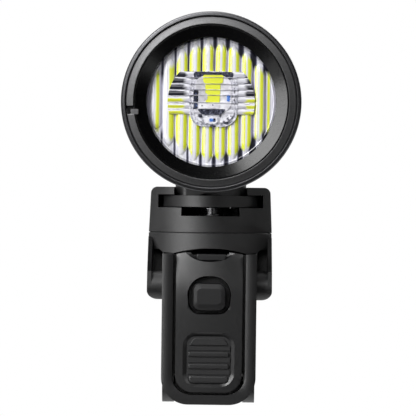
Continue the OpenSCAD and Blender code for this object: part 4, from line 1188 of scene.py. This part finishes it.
# %% Model the thumb pad
PAD_Y = LEVER_Y + 0.6
pad_rows = ((-5.75, 7.6, 1.7, 0.3, 1.3), (-8.95, 10.4, 1.3, 0.3, 1.0), (-12.05, 10.4, 1.3, 0.3, 1.0),
            (-15.4, 10.4, 1.9, 0.8, 0.94))
pad_pieces = [rounded_plate("thumb_pad", (0, GRIP_Z), (11.2, 11.8), 2.2, PAD_Y, 0.5)]
for strip_z, strip_h in ((-7.45, 0.95), (-10.5, 1.05), (-13.6, 1.05)):
    pad_pieces.append(rounded_plate("thumb_strip", (0, strip_z), (11.0, strip_h), 0.2, PAD_Y - 0.3, 0.6))
for row_z, row_w, row_h, row_corner, row_taper in pad_rows:
    bar = rounded_plate("thumb_bar", (0, row_z), (row_w, row_h), row_corner, PAD_Y - 0.6, 1.2, row_taper)
    round_edges(bar, 0.42, 4, 50.0)
    pad_pieces.append(bar)
settle(one_mesh("thumb_pad", pad_pieces), "lever", "black_rubber", "grip_rubber", "thumb_grip")

# %% Model the finger tab in the scoop
tab = rounded_plate("scoop_tab", (0.45, 15.9), (8.0, 1.7), 0.7, LEVER_Y + 1.5, 1.2, 0.9)
round_edges(tab, 0.25, 3, 50.0)
settle(tab, "lever", "lever_plastic", "satin_abs")

# %% [markdown]
# The ends of the foot.
# The foot's plate sits in the dock like a drawer. It is bowed more than the solid's, and its two
# ends are stepped back out of the light. Two bisects at each end give points to move for the
# step. The plate could be modelled again, but then it would no longer match the solid's seat.

# %% Draw the foot's ends back
FOOT_LOW = 28.8
FOOT_TOP = 31.7
PLATE_FRONT = -10.0
END_X = 12.4
END_STEP = 5.0
STEP_WIDTH = 0.12
FOOT_BOW = 21.5
PLATE_BOW = 13.5
foot_piece = rounded_pieces["foot"]
end_lines = [END_X, END_X + STEP_WIDTH]
grid_cuts(foot_piece, (1, 0, 0), end_lines + [-line for line in end_lines])
for point in foot_piece.data.vertices:
    from_middle = min(abs(point.co.x) / MM, END_X)
    past_end = abs(point.co.x) / MM > END_X + STEP_WIDTH / 2
    on_plate = FOOT_LOW - 0.1 < point.co.z / MM < FOOT_TOP + 0.1
    if on_plate and point.co.y < PLATE_FRONT * MM:
        point.co.y += (sag(PLATE_BOW, from_middle) - sag(FOOT_BOW, from_middle)) * MM
        point.co.y += END_STEP * past_end * MM
alone(foot_piece)
even_normals(foot_piece)

# %% [markdown]
# The front of the saddle.
# In the photograph one highlight runs down over dock and saddle without a step, so both fronts are
# bowed alike. The solid is bowed about the same centre as the dock, which makes it a little
# flatter, so the points of its front are laid on the dock's bow. The hollows in its two wings are
# deeper than in the solid: their floors are chosen and moved back, until no light reaches them.
# The lower edge of the front is raised into a low arch over the lever. All this could be cut
# anew, but moving points keeps the seams of the solid.

# %% Bow the saddle and deepen its hollows
SADDLE_FRONT = -26.0
SADDLE_BOW = 27.5
DOCK_BOW = 20.5
HOLLOW_Y = -21.5
HOLLOW_DEPTH = 6.0
ARCH_RISE = 0.35
ARCH_HALF = 9.0
ARCH_BACK = -21.0
ARCH_TOP = 18.6
FRONT_LOW = 16.5
FRONT_REACH = 0.5
saddle_piece = rounded_pieces["saddle"]
alone(saddle_piece)
choose(saddle_piece, "FACE", lambda centre, normal: normal.y < -0.95 and abs(centre.y - HOLLOW_Y) < 0.2
       and 12.0 < abs(centre.x) < 15.2 and 12.0 < centre.z < 17.8)
bpy.ops.transform.translate(value=(0, HOLLOW_DEPTH * MM, 0))
leave_edit()
for point in saddle_piece.data.vertices:
    from_middle = abs(point.co.x) / MM
    behind = point.co.y / MM - SADDLE_FRONT
    if point.co.z > FRONT_LOW * MM and abs(behind - sag(SADDLE_BOW, from_middle)) < FRONT_REACH:
        point.co.y += (sag(DOCK_BOW, from_middle) - sag(SADDLE_BOW, from_middle)) * MM
    in_arch = from_middle < ARCH_HALF and point.co.y < ARCH_BACK * MM
    if in_arch and FRONT_LOW * MM < point.co.z < ARCH_TOP * MM:
        point.co.z += ARCH_RISE * (1.0 - (from_middle / ARCH_HALF) ** 2) * MM
even_normals(saddle_piece)

# %% [markdown]
# Flags before the lamps.
# A photographer holds small black flags into a lamp's beam to keep it off one piece, or narrows it
# with a snoot until it falls on one piece only. Light linking does both here. The main lamp is kept
# off ring and rim, the high one off the shield, the right one off all three. The head lamp falls on
# ring and rim only, and the small one on nothing but the steel in the slot. Moving the lamps
# instead would change the highlights on the clamp, which are right as they are.

# %% Hold the flags
def link_light(lamp_name, pieces, state):
    linked = bpy.data.collections.new(lamp_name + "_pieces")
    for piece in pieces:
        linked.objects.link(piece)
    for entry in linked.collection_objects:
        entry.light_linking.link_state = state
    bpy.data.objects[lamp_name].light_linking.receiver_collection = linked
    print(lamp_name, state.lower(), [piece.name for piece in pieces])


head_pieces = [rounded_pieces[solid] for solid in ("light_shield", "bezel_ring", "head_housing")]
link_light("key_left", head_pieces[1:], "EXCLUDE")
link_light("head_left", head_pieces[1:], "INCLUDE")
link_light("high_left", head_pieces[:1], "EXCLUDE")
link_light("fill_right", head_pieces, "EXCLUDE")
link_light("slot_lamp", [frame["nodes"][solid] for solid in ("swivel_screw", "swivel_washer")], "INCLUDE")
